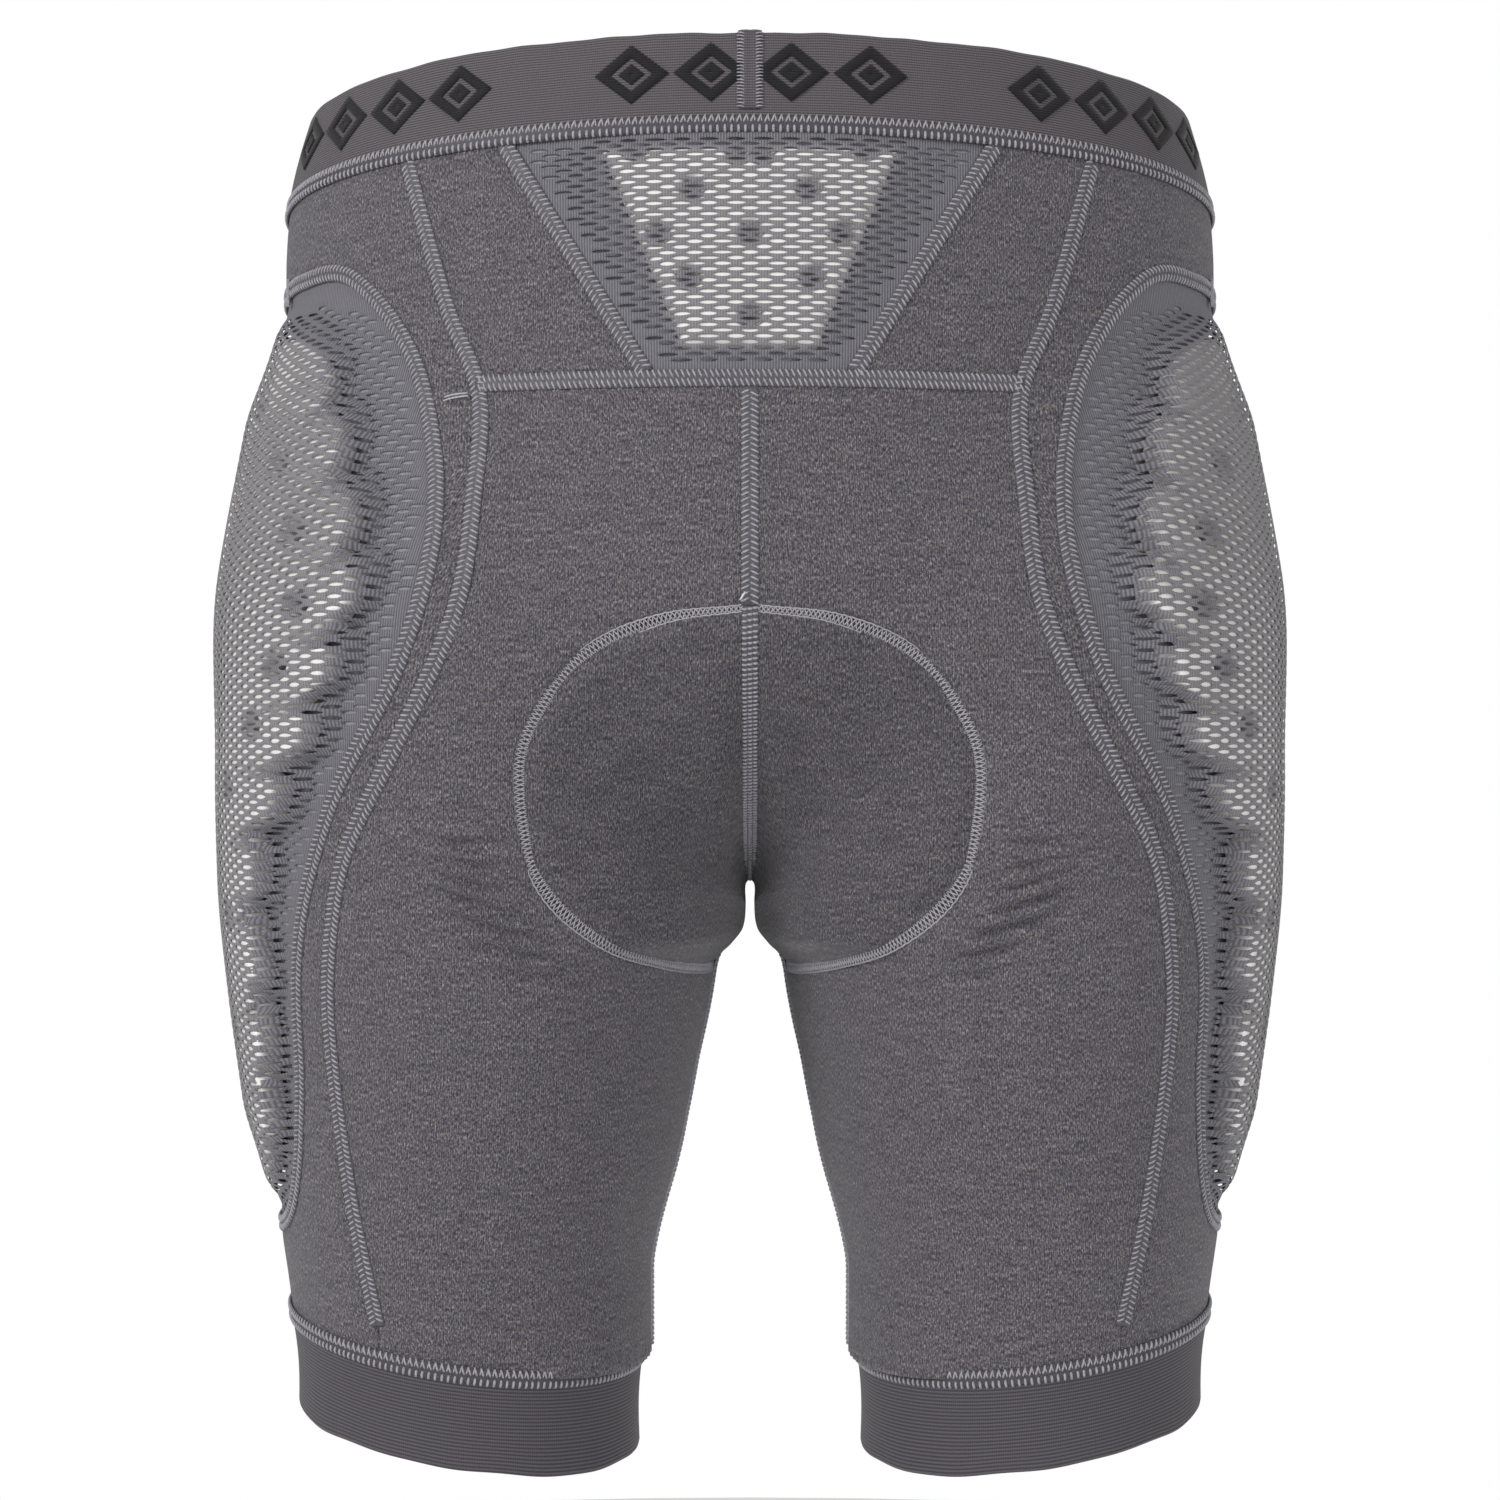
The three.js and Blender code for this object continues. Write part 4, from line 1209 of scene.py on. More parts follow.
def slit_faces(up, low, plain_up, plain_low, slits):
    """Faces of the bricks from the five points of their upper and lower edges: round the corners
    of a slit, or straight across where there is none."""
    over, under = slits[:, [0, 1, 2, 3, 4]], slits[:, [0, 7, 6, 5, 4]]
    quads = []
    for k in range(4):
        quads.append(np.stack([up[:, k], over[:, k], over[:, k + 1], up[:, k + 1]], -1))
        quads.append(np.stack([low[:, k], low[:, k + 1], under[:, k + 1], under[:, k]], -1))
        quads.append(np.stack([plain_low[:, k], plain_low[:, k + 1], plain_up[:, k + 1],
                               plain_up[:, k]], -1))
    tris = np.concatenate([np.stack([up[:, 0], low[:, 0], over[:, 0]], -1),
                           np.stack([low[:, 4], up[:, 4], over[:, 4]], -1)])
    return np.concatenate(quads), tris


def slit_lattice(place, within, opening, span, rim, slit):
    """A knitted mesh laid out as bricks with a lens-shaped slit in each.

    place(u, v, lower) gives matching outer and inner points and cloth coordinates; within(u, v)
    is how far inside the outline a place is; opening(u, v) is how far the slits are pulled open,
    0 to 1; span is (left, right, bottom, top); no slit comes closer to the outline than rim;
    slit is the half width and half height of one pulled open, and the spacing along a row.
    """
    left, right, bottom, top = span
    wide, tall, pitch = slit
    quarter = pitch / 4
    rows = np.arange(int(bottom / ROW_PITCH), int(top / ROW_PITCH) + 1)
    columns = np.arange(int(left / pitch) - 1, int(right / pitch) + 2)
    r, m = (v.ravel() for v in np.meshgrid(rows, columns, indexing="ij"))
    q = 4 * m + 2 * (r % 2)
    u, v = q * quarter, r * ROW_PITCH
    tried = [within(u + du, v + dv) for du in (-4.6, 0, 4.6) for dv in (-0.8, 0.8)]
    keep = np.maximum.reduce(tried) > -7.5
    r, q, u, v = r[keep], q[keep], u[keep], v[keep]
    room = np.minimum.reduce([within(u + du, v) for du in (-wide, 0, wide)])
    open_cell = room > rim

    # A shared point of the lattice is known by one whole number for its row and quarter.
    shift, stride = 5000, 100000
    quarters = q[:, None] + np.arange(-2, 3) + shift
    keys = np.concatenate([(row[:, None] + shift) * stride + quarters for row in (r + 1, r)], 1)
    unique, index = np.unique(keys.ravel(), return_inverse=True)
    index = index.reshape(keys.shape)
    upper, lower = index[:, :5], index[:, 5:]
    outer_u = (unique % stride - shift) * quarter
    outer_v = (unique // stride - shift - 0.5) * ROW_PITCH

    ring = SLIT_CORNERS * [wide, tall]
    at_u, at_v = u[open_cell], v[open_cell]
    uneven = 1 + 0.1 * np.sin(at_u * 1.7 + at_v * 2.9) + 0.06 * np.sin(at_u * 0.9 - at_v * 5.3)
    pulled = lerp(SLIT_SHUT, 1.0, opening(at_u, at_v)) * uneven
    ring_u = at_u[:, None] + ring[:, 0] * (2 - uneven)[:, None]
    ring_v = at_v[:, None] + ring[:, 1] * pulled[:, None]
    slits = len(unique) + np.arange(ring_u.size).reshape(-1, len(SLIT_CORNERS))
    faces = slit_faces(upper[open_cell], lower[open_cell], upper[~open_cell],
                       lower[~open_cell], slits)
    all_u = np.concatenate([outer_u, ring_u.ravel()])
    all_v = np.concatenate([outer_v, ring_v.ravel()])
    sunk = np.concatenate([np.zeros(len(unique)), np.full(ring_u.size, 0.3)])
    outside_points, inside_points, lay = place(all_u, all_v, sunk)
    return shell(outside_points, inside_points, faces), np.concatenate([lay, lay])


SIDE_LEVELS = np.arange(-380.0, -10.0, 3.0)
SIDE_ARC = ArcTable(about_leg, np.radians(np.arange(-100.0, 90.0, 1.5)), SIDE_LEVELS,
                    math.radians(POCKET_CENTRE[0]))
GRID_U = np.arange(-150.0, 150.0, 3.0)
MM_INSIDE = 80                # about one pocket unit, averaged over its directions
PAD_SHIFTS = (0.0, 2.0, 4.0)  # places along the slide that the pocket has to leave free


def side_mesh_height():
    """The pocket mesh over the hip pad, clear of the pad as it shifts up inside the pocket."""
    u, z = np.meshgrid(GRID_U, SIDE_LEVELS)
    angle = SIDE_ARC(u, z)
    polar, radius = unit_of(np.degrees(angle), z)
    inside = radius < mesh_radius(polar)
    lean = normals_at(about_leg(angle, z))[..., 2]
    tops = []
    for shift in PAD_SHIFTS:
        top = hip_pad_top(angle, z - shift)
        clear = np.maximum(MESH_CLEAR, lean * shift + 0.07)
        tops.append(np.where(top > 0, top + clear, 0.0))
    beside = np.maximum.reduce([hip_pad_depth(angle, z - shift) for shift in PAD_SHIFTS])
    height = stretched_over(np.maximum.reduce(tops), inside)
    height = height * smooth(beside, -9.0, -0.5)
    # held opens the slits and also carries the mesh's painted light: paler over the pad, with
    # painted shade over its pits.
    held = smooth(hip_pad_depth(angle, z), -2.0, 1.0) * (1 - 0.9 * hip_pits(angle, z))
    return (lambda a, b: bilinear(GRID_U, SIDE_LEVELS, height, a, b),
            lambda a, b: bilinear(GRID_U, SIDE_LEVELS, held, a, b))


def side_meshes():
    height, held = side_mesh_height()

    def within(u, z):
        angle = np.degrees(SIDE_ARC(u, z))
        polar, radius = unit_of(angle, z)
        # The flap over the pocket's opening is plain knit.
        flap = 7 * smooth(z, -60, -42) * smooth(angle, -66, -52) * (1 - smooth(angle, -16, -4))
        return (mesh_radius(polar) - radius) * MM_INSIDE - flap

    def place(u, z, sunk):
        polar, radius = unit_of(np.degrees(SIDE_ARC(u, z)), z)
        edge = mesh_radius(polar) - GAP / UNIT_MM
        angle, level = from_unit(polar, np.minimum(radius, edge))
        p = about_leg(angle, level)
        low = height(u, z) * (radius < edge)
        # The third coordinate carries the painted light from the foam under the yarn.
        lay = np.stack([u, z, held(u, z)], -1)
        return lift(p, low + MESH_THICK - sunk), lift(p, low + 0.4 * sunk), lay

    parts, lay = slit_lattice(place, within, held, (-150, 150, -370, -20), 2.8, HIP_SLIT)
    make_pair("side_mesh", parts, MESH, lay)


def tail_mesh():
    levels = np.arange(-80.0, 22.0, 2.0)
    arc = ArcTable(lambda x, z: facing(BACK, x, z), np.arange(-110.0, 111.0, 2.0), levels, 0.0)
    grid_u = np.arange(-100.0, 100.0, 2.0)
    u, z = np.meshgrid(grid_u, levels)
    x = arc(u, z)

    def edges(x, z):
        top = waist_level(facing(BACK, x, z)) - GAP / 2
        return top, YOKE_Z + GAP / 2, TAIL_SEAM_X(z)

    top, bottom, half = edges(x, z)
    margin = np.minimum(top - PAD_BELOW_WAIST - z, z - bottom - PAD_ABOVE_YOKE)
    margin = np.minimum(margin, TAIL_PAD_X(z) - np.abs(x))
    pad = np.where(margin > 0, tail_pad_top(margin) + MESH_CLEAR, 0.0)
    inside = (z < top) & (z > bottom) & (np.abs(x) < half)
    rise = stretched_over(pad, inside)
    # held opens the slits and also carries the mesh's painted light: paler over the pad, with
    # painted shade over its pits.
    held = smooth(margin, -2.0, 0.5) * (1 - 0.9 * tail_pits(x, z))

    def within(u, z):
        x = arc(u, z)
        top, bottom, half = edges(x, z)
        return np.minimum(np.minimum(top - z, z - bottom), half - np.abs(x))

    def place(u, z, sunk):
        x = arc(u, z)
        top, bottom, _ = edges(x, z)
        level = np.clip(z, bottom, top)
        half = TAIL_SEAM_X(level) - GAP
        p = facing(BACK, np.clip(x, -half, half), level)
        low = bilinear(grid_u, levels, rise, u, z)
        # The third coordinate carries the painted light from the foam under the yarn.
        lay = np.stack([u, z, bilinear(grid_u, levels, held, u, z)], -1)
        return lift(p, low + MESH_THICK - sunk), lift(p, low + 0.4 * sunk), lay

    parts, lay = slit_lattice(place, within,
                              lambda u, z: bilinear(grid_u, levels, held, u, z),
                              (-100, 100, -78, 20), 4.2, TAIL_SLIT)
    make_single("tailbone_mesh", parts, MESH, lay)


# ------------------------------------------------------------------ linings
SLACK = 0.18                  # how close the lining lies under the mesh round a pad
LINING_THICK = 0.9


def linings():
    """The cloth behind each pad, which closes its pocket and shows through the mesh round it."""
    rays, rings = 240, 40
    polar = full_turn(rays)
    share = np.maximum(np.linspace(0, 1, rings), 0.01)[:, None]
    angle, z = from_unit(np.broadcast_to(polar, (rings, rays)),
                         (mesh_radius(polar) - 2 / UNIT_MM) * share)
    p = about_leg(angle, z)
    under = smooth(hip_pad_depth(angle, z), -7, 0)
    reach = np.maximum.reduce([hip_pad_depth(angle, z - shift) for shift in PAD_SHIFTS])
    beside = -SLACK - 0.9 * smooth(reach, -3, 0)
    sag = lerp(beside, -LINING_DROP - 0.2 * (1 + wobble(z + 40 * angle, 50, 1.0)), under)
    lay = cloth_lay(np.append(angle, angle[0, 0]) * 90, np.append(z, z[0, 0]))
    parts = disc_parts(lift(p, sag), lift(p, sag - LINING_THICK))
    make_pair("pocket_lining", parts, LINING, lay)
    x, z, _ = tail_grid(lambda h: TAIL_SEAM_X(h) - 2, GAP / 2 + 2, YOKE_Z + 2, 50, 80)
    p = facing(BACK, x, z)
    above = z - waist_level(p) + PAD_BELOW_WAIST
    below = YOKE_Z + PAD_ABOVE_YOKE - z
    out = np.maximum(np.maximum(np.abs(x) - TAIL_PAD_X(z), below), above)
    sag = lerp(-LINING_DROP, -SLACK, smooth(out, 0, 4))
    parts = sheet_parts(lift(p, sag), lift(p, sag - LINING_THICK))
    make_single("tailbone_lining", parts, LINING, cloth_lay(x, z))


# ------------------------------------------------------------------ seat pad
SEAT_BACK_RIM = rounded(SEAT_BACK, 200, closed=False)
SEAT_FRONT_RIM = rounded(SEAT_FRONT, 200, closed=False)


def seat_grid(rows, half_columns, inset):
    """Points of the shape under the seat pad, from its back through the crotch to its front."""
    top = SEAT_BACK[0][1] - inset
    grid = []
    for t in np.linspace(0, 1, rows):
        side = BACK if t < 0.5 else FRONT
        rim = SEAT_BACK_RIM if t < 0.5 else SEAT_FRONT_RIM
        at = (2 * t if t < 0.5 else 2 * t - 1) * (len(rim) - 1)
        edge = [np.interp(at, np.arange(len(rim)), rim[:, k]) for k in (0, 1)]
        z = lerp(CROTCH + 1, top, abs(2 * t - 1) ** 1.6)
        middle = facing(side, 0.0, float(z))
        turned = math.atan2(middle[1], -float(LEG["axis"](z)))
        if side == FRONT:
            turned -= 2 * math.pi
        s = np.linspace(0, 1, half_columns + 1)[1:]
        half = about_leg(lerp(turned, math.radians(edge[0]), s),
                         lerp(z, min(edge[1] + inset, top), s))
        left = half[::-1] * [-1, 1, 1]
        grid.append(np.concatenate([left, middle[None, :], half]))
    return np.array(grid)


def swell(piece, voxel, pressure, cap):
    """Inflates a pad with Blender's cloth and keeps the result, moving no point beyond a cap."""
    mesh = piece.data
    remesh = piece.modifiers.new("remesh", "REMESH")
    remesh.mode = "VOXEL"
    remesh.voxel_size = voxel * METRE
    bpy.context.view_layer.update()
    bpy.context.view_layer.objects.active = piece
    with bpy.context.temp_override(object=piece, active_object=piece):
        bpy.ops.object.modifier_apply(modifier=remesh.name)
    start = np.empty(len(mesh.vertices) * 3)
    mesh.vertices.foreach_get("co", start)
    cloth = piece.modifiers.new("cloth", "CLOTH")
    cloth.settings.use_pressure = True
    cloth.settings.uniform_pressure_force = pressure
    cloth.settings.quality = 6
    cloth.settings.effector_weights.gravity = 0
    scene = bpy.context.scene
    for step in range(1, 21):
        scene.frame_set(step)
    shape = piece.evaluated_get(bpy.context.evaluated_depsgraph_get()).to_mesh()
    end = np.empty(len(shape.vertices) * 3)
    shape.vertices.foreach_get("co", end)
    piece.modifiers.remove(cloth)
    scene.frame_set(1)
    move = (end - start).reshape(-1, 3)
    size = np.linalg.norm(move, axis=1, keepdims=True)
    move *= np.minimum(1, cap * METRE / np.maximum(size, 1e-9))
    mesh.vertices.foreach_set("co", (start.reshape(-1, 3) + move).ravel())
    mesh.update()


def seat_pad():
    """The foam between the jersey and the seat pad's face, swollen by cloth simulation."""
    grid = seat_grid(46, 16, SEAT_INSET + 2)
    parts = sheet_parts(lift(grid, np.full(grid.shape[:2], -4.4)),
                        lift(grid, np.full(grid.shape[:2], -8.6)))
    foam = make("seat_pad_foam_look", parts, SEAT_FOAM)
    swell(foam, voxel=3.0, pressure=4.0, cap=0.9)
    fine = foam.modifiers.new("fine", "SUBSURF")
    fine.levels = fine.render_levels = 1
    stands_for(foam, "seat_pad_foam")

    grid = seat_grid(110, 46, SEAT_INSET)
    across = np.linspace(-1, 1, grid.shape[1])[None, :]
    along = np.linspace(0, 1, len(grid))[:, None]
    channel = -0.5 * np.exp(-((np.abs(across) - 0.45) / 0.05) ** 2) * smooth(along, 0.04, 0.12)
    low = -10.1 + channel * (1 - smooth(along, 0.88, 0.96))
    make_single("seat_pad_face", sheet_parts(lift(grid, low), lift(grid, low - 1)), LINING,
                cloth_lay(grid[..., 0], grid[..., 2] + grid[..., 1]))


# ------------------------------------------------------------------ elastic bands
def band(points, share, height, edge, bulge):
    """A ring of elastic from rows of points: its edges fold in and its middle bulges."""
    roll = rolled(share, edge)[:, None]
    parts = sheet_parts(lift(points, ELASTIC - 0.9 * roll + bulge),
                        lift(points, 0.7 * roll + bulge), True)
    return parts, cloth_lay(distances(points[0])[None, :], (share * height)[:, None])


def rolled(share, edge):
    """How far each face of a band turns in at its folded edges, 0 to 1."""
    near = np.minimum(share, 1 - share) / edge
    return 1 - np.sqrt(1 - (1 - np.clip(near, 0, 1)) ** 2)


def waistband():
    rows, columns = 46, 720
    share = np.linspace(0, 1, rows)
    around = full_turn(columns) * 130
    p = np.array([ring_of_waist(lerp(GAP / 2, WAISTBAND_HEIGHT, t), columns) for t in share])
    p[..., 2] += 0.35 * wobble(around, 71.0, 1.0) * smooth(share, 0.6, 1.0)[:, None]
    bulge = 0.25 * wobble(around, 47.0, 2.0) * np.sin(math.pi * share)[:, None]
    parts, lay = band(p, share, WAISTBAND_HEIGHT, 0.06, bulge)
    make_single("waistband", parts, WAIST_ELASTIC, lay)


HEM_DIP = 0.9                 # how far the hem's elastic pulls in between its edges


def hem_bands():
    rows, columns = 44, 480
    share = np.linspace(0, 1, rows)
    around = full_turn(columns) * 64
    p = np.array([ring_of_hem(lerp(GAP / 2, HEM_BAND_HEIGHT, t), columns) for t in share])
    p[..., 2] += 0.8 * wobble(around, 120.0, 2.0) * smooth(share, 0.5, 1.0)[:, None]
    waist_in = -HEM_DIP * np.sin(math.pi * share)[:, None] + 0 * around
    parts, lay = band(p, share, HEM_BAND_HEIGHT, 0.05, waist_in)
    make_pair("hem_band", parts, HEM_ELASTIC, lay)


def grippers():
    """A silicone strip inside each hem, with rows of raised beads on its skin side."""
    rows, columns = 30, 420
    share = np.linspace(0, 1, rows)[:, None]
    strip_top, strip_height = HEM_BAND_HEIGHT - 20, 14
    down = strip_top + strip_height * share[:, 0]
    p = np.array([ring_of_hem(d, columns) for d in down])
    beads = np.abs(np.sin(5 * math.pi * share) * np.sin(70 * full_turn(columns)[None, :]))
    beads = 0.5 * beads ** 0.7
    dip = -HEM_DIP * np.sin(math.pi * down / HEM_BAND_HEIGHT)[:, None]
    parts = sheet_parts(lift(p, -0.25 + dip + 0 * beads), lift(p, -1.0 + dip - beads), True)
    make_pair("hem_gripper", parts, SILICONE)


LOZENGE = (25.0, 20.5)        # width and height of one figure of the waistband's pattern
LOZENGE_STEP = 26.5


def lozenge_frame(inner, outer, count=9):
    """Corners of a lozenge's ring in units of its half width and height, as a loop grid."""
    corners = np.array([(1, 0), (0, 1), (-1, 0), (0, -1)], float)
    edge = np.concatenate([lerp(corners[k], corners[(k + 1) % 4],
                                np.linspace(0, 1, count)[:-1, None]) for k in range(4)])
    return np.stack([edge * inner, edge * lerp(inner, outer, 0.5), edge * outer])


def waistband_pattern():
    """Plain nested lozenges woven into the band at the back, the sides and the front."""
    band_line = Line(ring_of_waist(WAISTBAND_HEIGHT * 0.56), loop=True)
    centres = [about_middle(math.radians(a), 18.0) for a in (-90, -26, 206, 90)]
    parts = []
    for centre in centres:
        _, start = band_line.near(centre[None, :])
        for k in (-1.5, -0.5, 0.5, 1.5):
            for inner, outer in ((0.56, 1.0), (0.02, 0.36)):
                shape = lozenge_frame(inner, outer)
                s = start + k * LOZENGE_STEP + shape[..., 0] * LOZENGE[0] / 2
                u = shape[..., 1] * LOZENGE[1] / 2
                top = band_line.at(s, u, np.full(s.shape, ELASTIC + 0.42))
                parts.append(sheet_parts(top, band_line.at(s, u, np.full(s.shape, 1.6)), True))
    parts = combined(parts)
    x, y, z = parts[0].T
    piece = make("waistband_pattern", parts, PATTERN, cloth_lay(x + y, z, faces=1))
    stands_for(piece, "waistband")


# ------------------------------------------------------------------ stitches
def combined(parts):
    base = np.cumsum([0] + [len(v) for v, _, _ in parts[:-1]])
    return (np.concatenate([v for v, _, _ in parts]),
            np.concatenate([q + b for (_, q, _), b in zip(parts, base)]),
            np.concatenate([t + b for (_, _, t), b in zip(parts, base)]))


def tubes(paths, up, radius, sides=6):
    """Closed tubes along many paths at once; paths and up are (tubes, points, 3)."""
    along = np.gradient(paths, axis=1)
    a = np.cross(along, up)
    a /= np.maximum(np.linalg.norm(a, axis=-1, keepdims=True), 1e-9)
    b = np.cross(a, along)
    b /= np.maximum(np.linalg.norm(b, axis=-1, keepdims=True), 1e-9)
    turn = full_turn(sides)
    ring = (np.cos(turn)[:, None] * a[:, :, None, :] + np.sin(turn)[:, None] * b[:, :, None, :])
    verts = paths[:, :, None, :] + radius * ring
    m, k = paths.shape[:2]
    i, j, c = np.meshgrid(np.arange(m), np.arange(k - 1), np.arange(sides), indexing="ij")
    corners = [((i * k + j + down) * sides + (c + on) % sides).ravel()
               for down, on in ((0, 0), (0, 1), (1, 1), (1, 0))]
    quads = [np.stack(corners, -1)]
    first = np.arange(m) * k * sides
    last = first + (k - 1) * sides
    for d in range(1, sides - 2, 2):
        quads.append(np.stack([first, first + d + 2, first + d + 1, first + d], -1))
        quads.append(np.stack([last, last + d, last + d + 1, last + d + 2], -1))
    return verts.reshape(-1, 3), np.concatenate(quads), np.zeros((0, 3), int)


def thread(line, s, u, h, radius):
    s, u, h = np.broadcast_arrays(s, u, h)
    return tubes(line.at(s, u, h), line.outward(s), radius)


def loops(line, s, u_from, u_to, slant, low, high, radius=0.34, points=5):
    """Short threads that start at lengths s and cross the seam, arching over the cloth."""
    t = np.linspace(0, 1, points)[None, :]
    s = s[:, None]
    jitter = 0.12 * wobble(s, 9.7, u_from)
    return thread(line, s + slant * t + jitter, lerp(u_from, u_to, t),
                  lerp(low, high, np.sin(math.pi * t) ** 0.7), radius)


def every(line, step, start=0.0, end=None):
    end = line.length if end is None else end
    return np.arange(start + step / 2, end - step / 2, step)


def ribbon(line, half, low, high, valley=0.25, start=0.0, end=None):
    """The raised ground of a seam: a strip with rounded sides and a slight valley."""
    end = line.length if end is None else end
    rows = max(int((end - start) / 1.6), 4)
    s = np.linspace(start, end, rows, endpoint=not line.loop)[:, None]
    u = np.linspace(-1, 1, 11)[None, :]
    top = high - (high - low) * np.abs(u) ** 5 - valley * np.exp(-(u / 0.14) ** 2)
    top = top + 0.05 * wobble(s, 11.0, 1.0)
    a = line.at(s, u * half, top)
    b = line.at(s, u * half, np.full(top.shape, low - 0.35))
    if line.loop:
        return sheet_parts(a.transpose(1, 0, 2), b.transpose(1, 0, 2), True)
    return sheet_parts(a, b)


def flatlock(line, base=1.2, start=0.0, end=None, second=1.2):
    """A flat seam: two rows of slanted loops over a raised ground, like a plait, or like a rope
    if the second row slants the other way."""
    s = every(line, 1.9, start, end)
    ground = ribbon(line, 2.9, base, base + 0.65, start=start, end=end)
    high = base + 0.72
    return ground, [
        loops(line, s, 0.3, 2.75, 1.2, base + 0.2, high),
        loops(line, s + 0.9, -0.3, -2.75, second, base + 0.2, high),
    ]


def covered(line, base=1.2, start=0.0, end=None):
    """A cover seam: three rows of short bars over a ground."""
    s = every(line, 1.85, start, end)
    ground = ribbon(line, 2.6, base, base + 0.4, valley=0.0, start=start, end=end)
    rows = [loops(line, s + 0.3 * k, 1.75 * k - 0.68, 1.75 * k + 0.68, 0.1, base + 0.1,
                  base + 0.7, radius=0.42) for k in (-1, 0, 1)]
    return ground, rows


def overlocked(line, base=1.9, height=0.75, start=0.0, end=None, step=2.3):
    """A band seam: slanted loops above, short upright bars below."""
    s = every(line, step, start, end)
    ground = ribbon(line, 2.9, base, base + height - 0.1, valley=0.15, start=start, end=end)
    high = base + height
    return ground, [
        loops(line, s, -0.2, -3.1, 1.25, base + 0.1, high, radius=0.36),
        loops(line, s + 1.1, -3.0, -0.3, 0.5, base + 0.1, high - 0.1, radius=0.28),
        loops(line, s + 0.7, 0.5, 2.9, 0.0, base + 0.1, high, radius=0.46),
    ]


def zigzagged(line, base=1.2, half=2.2, step=3.1):
    """Two crossing zigzags between two edge rows, stitched straight onto the jersey."""
    count = int(line.length / (step / 2))
    s = np.linspace(0, line.length, count + 1)
    narrow = 0.45 + 0.55 * smooth(s, 2, 60)
    parts = []
    for flip in (1, -1):
        u = flip * half * narrow * np.where(np.arange(len(s)) % 2, 1, -1)
        fine = np.linspace(0, len(s) - 1, 4 * (len(s) - 1) + 1)
        s_fine = np.interp(fine, np.arange(len(s)), s)
        u_fine = np.interp(fine, np.arange(len(s)), u)
        lift_by = base + 0.25 + 0.1 * flip * np.cos(math.pi * fine)
        parts.append(thread(line, s_fine[None, :], u_fine[None, :], lift_by[None, :], 0.27))
    fine = np.linspace(0, line.length, int(line.length))
    width = 0.45 + 0.55 * smooth(fine, 2, 60)
    for flip in (1, -1):
        ripple = flip * (half + 0.25) * width + 0.12 * np.sin(2 * math.pi * fine / step)
        parts.append(thread(line, fine[None, :], ripple[None, :],
                            np.full((1, len(fine)), base + 0.22), 0.3))
    return parts


def seam_pair(name, ground, stitches, under=None):
    if ground is not None:
        make_pair(name, ground, under or SEAM_CLOTH)
    make_pair(name, combined(stitches), THREAD, suffix="stitches")


def seam_single(name, ground, stitches, under=None):
    for kind, parts, material in (("look", ground, under or SEAM_CLOTH),
                                  ("stitches", combined(stitches), THREAD)):
        stands_for(make(f"{name}_{kind}", parts, material), name)


def seams():
    for name, line in (("back_seam", BACK_LINE), ("front_seam", FRONT_LINE),
                       ("tail_seam", TAIL_LINE), ("mesh_seam", MESH_LINE)):
        seam_pair(name, *flatlock(line))
    # Painted light: the inseam's ground takes the pale thread material instead of the seam ground's,
    # lighter to offset the shade between the legs.
    seam_pair("inseam", *flatlock(INSEAM_LINE, base=1.3), under=THREAD)
    seam_pair("seat_pad_seam", None, zigzagged(SEAT_LINE))
    seam_single("yoke_seam", *flatlock(YOKE_LINE, base=1.3, second=-1.2))
    seam_single("centre_front_seam", *flatlock(CENTRE_FRONT_LINE))
    at_pad = 72               # millimetres down this seam to the top of the seat pad
    top, top_rows = flatlock(CENTRE_BACK_LINE, end=at_pad)
    low, low_rows = covered(CENTRE_BACK_LINE, start=at_pad)
    seam_single("centre_back_seam", combined([top, low]), top_rows + low_rows)
    seam_single("waist_seam", *overlocked(WAIST_LINE), under=DARK_GROUND)
    seam_pair("hem_seam", *overlocked(HEM_LINE, step=2.2), under=DARK_GROUND)


def band_join():
    """The band's ends meet at the back under a bound strip with a zigzag down each side."""
    z = np.linspace(5, WAISTBAND_HEIGHT + 0.4, 120)
    level = z
    for _ in range(6):
        level = z + waist_level(facing(BACK, 0 * z, level))
    line = Line(facing(BACK, 0 * z, level))
    ground = ribbon(line, 4.0, 1.7, 2.75, valley=0.3)
    s = every(line, 1.15)
    rows = [loops(line, s, side * 1.7, side * 4.3, 0.35, 2.3, 2.95, radius=0.24)
            for side in (-1, 1)]
    for kind, parts, material in (("look", ground, WAIST_ELASTIC),
                                  ("stitches", combined(rows), THREAD)):
        x, _, z = parts[0].T
        piece = make(f"waistband_join_{kind}", parts, material, cloth_lay(x, z, faces=1))
        stands_for(piece, "waistband_join")


def bar_tacks():
    """Dense satin stitches across the back end of each pocket's opening."""
    direction = math.radians(-20)
    line = Line(about_leg(np.full(60, direction), np.linspace(-25, -35, 60)))
    s = every(line, 0.62)
    make_pair("pocket_tack", combined([loops(line, s, -1.4, 1.4, 0.2, 1.8, 2.5, radius=0.32)]),
              THREAD)


def loose_ends():
    """Two trimmed thread ends left at the back seams' crossings."""
    for name, x, z, run, material in (
            ("loose_end_yoke", -101.5, -76.8, (8.5, 1.4), LIGHT_THREAD),
            ("loose_end_yoke_2", -101.2, -75.6, (8.0, 1.2), LIGHT_THREAD),
            ("loose_end_centre", -3.2, -143.6, (1.6, 2.4), WHITE_THREAD)):
        t = np.linspace(0, 1, 7)
        p = facing(BACK, x + run[0] * t, z + run[1] * t)
        path = lift(p, 2.7 + 0.8 * np.sin(math.pi * t))
        piece = make(name, tubes(path[None, :], normals_at(p)[None, :], 0.3), material)


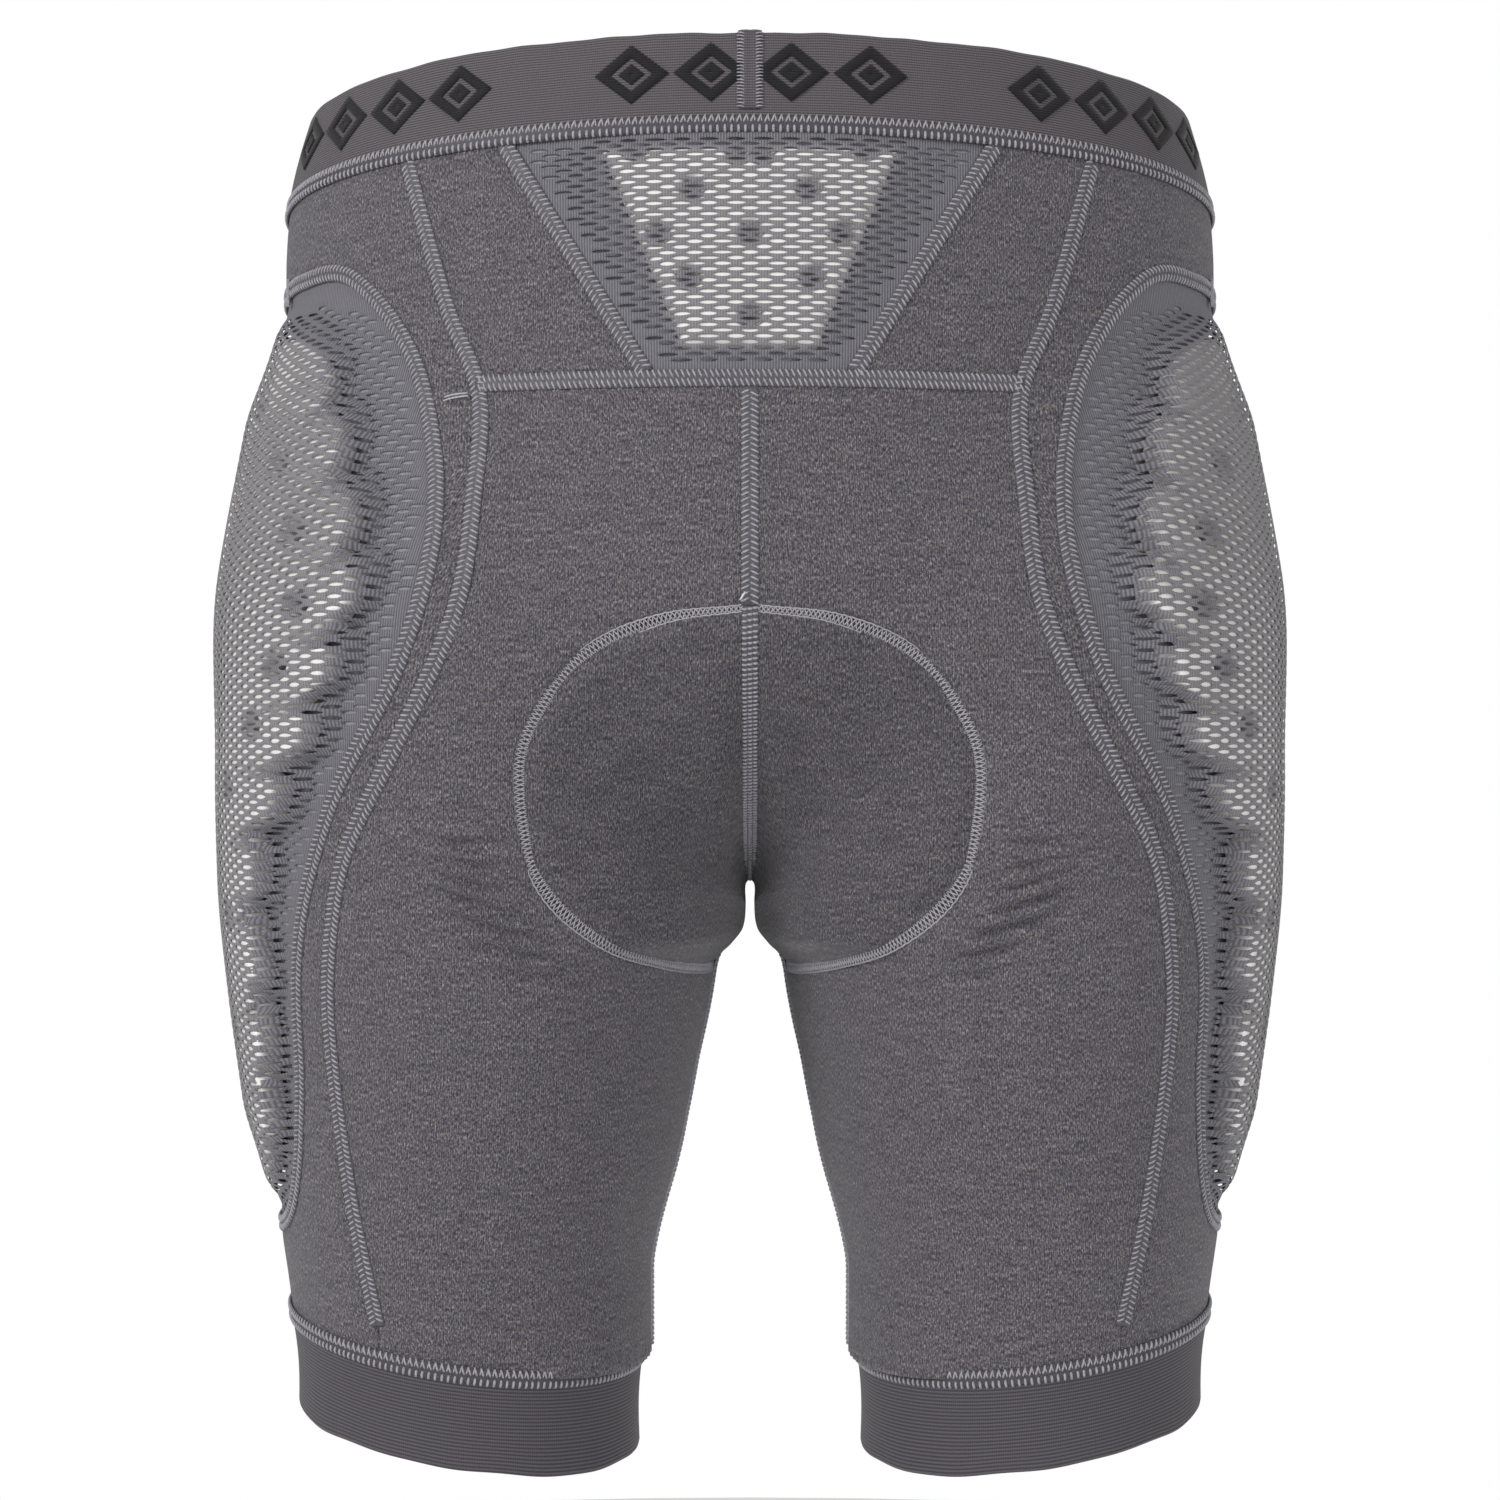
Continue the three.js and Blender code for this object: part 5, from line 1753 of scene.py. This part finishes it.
# ------------------------------------------------------------------ studio
def area_light(name, place, target, size, power):
    light = bpy.data.lights.new(name, "AREA")
    light.shape = "DISK"
    light.size = size
    light.energy = power
    lamp = bpy.data.objects.new(name, light)
    lamp.location = place
    lamp.rotation_euler = (Vector(target) - Vector(place)).to_track_quat("-Z", "Y").to_euler()
    bpy.context.scene.collection.objects.link(lamp)


AMBIENT = 0.45                # light from all round, against 1 for the white that is seen
FLOOR_RADIUS = 1.25           # metres, as all of the studio's places
FLOOR_Z = -0.75


def studio():
    """A white studio: even light all round and a soft key from the upper left."""
    world = bpy.data.worlds.new("studio")
    world.use_nodes = True
    background = world.node_tree.nodes["Background"]
    background.inputs["Color"].default_value = (1, 1, 1, 1)
    seen = world.node_tree.nodes.new("ShaderNodeLightPath")
    strength = world.node_tree.nodes.new("ShaderNodeMapRange")
    strength.inputs["To Min"].default_value = AMBIENT
    strength.inputs["To Max"].default_value = 1.0
    world.node_tree.links.new(seen.outputs["Is Camera Ray"], strength.inputs["Value"])
    world.node_tree.links.new(strength.outputs["Result"], background.inputs["Strength"])
    scene = bpy.context.scene
    scene.world = world
    scene.view_settings.view_transform = "Standard"
    centre = (0, 0, -0.2)
    area_light("key", (-1.6, -1.5, 0.85), centre, 0.9, 27.5)
    area_light("fill", (1.1, -1.7, 0.3), centre, 1.2, 9.5)
    area_light("rim", (0.2, 1.6, 1.0), centre, 1.0, 8)


def floor():
    disc = bpy.data.meshes.new("floor")
    edge = [(FLOOR_RADIUS * math.cos(a), FLOOR_RADIUS * math.sin(a), FLOOR_Z)
            for a in full_turn(96)]
    disc.from_pydata(edge, [], [list(range(len(edge)))])
    disc.materials.append(floor_material())
    plane = bpy.data.objects.new("floor", disc)
    bpy.context.scene.collection.objects.link(plane)


def camera():
    """A long lens level with the middle of the shorts, looking at their back."""
    lens = bpy.data.cameras.new("camera")
    lens.sensor_width = 36
    lens.lens = 78.9
    lens.clip_start = 0.05
    view = bpy.data.objects.new("camera", lens)
    view.location = (0, -1.2, -0.193)
    view.rotation_euler = (math.pi / 2, 0, 0)
    bpy.context.scene.collection.objects.link(view)
    bpy.context.scene.camera = view


studio()
floor()
camera()
panels()
side_panel()
side_meshes()
tail_mesh()
hip_pads()
tail_pad()
linings()
seat_pad()
waistband()
waistband_pattern()
hem_bands()
grippers()
seams()
band_join()
bar_tacks()
loose_ends()
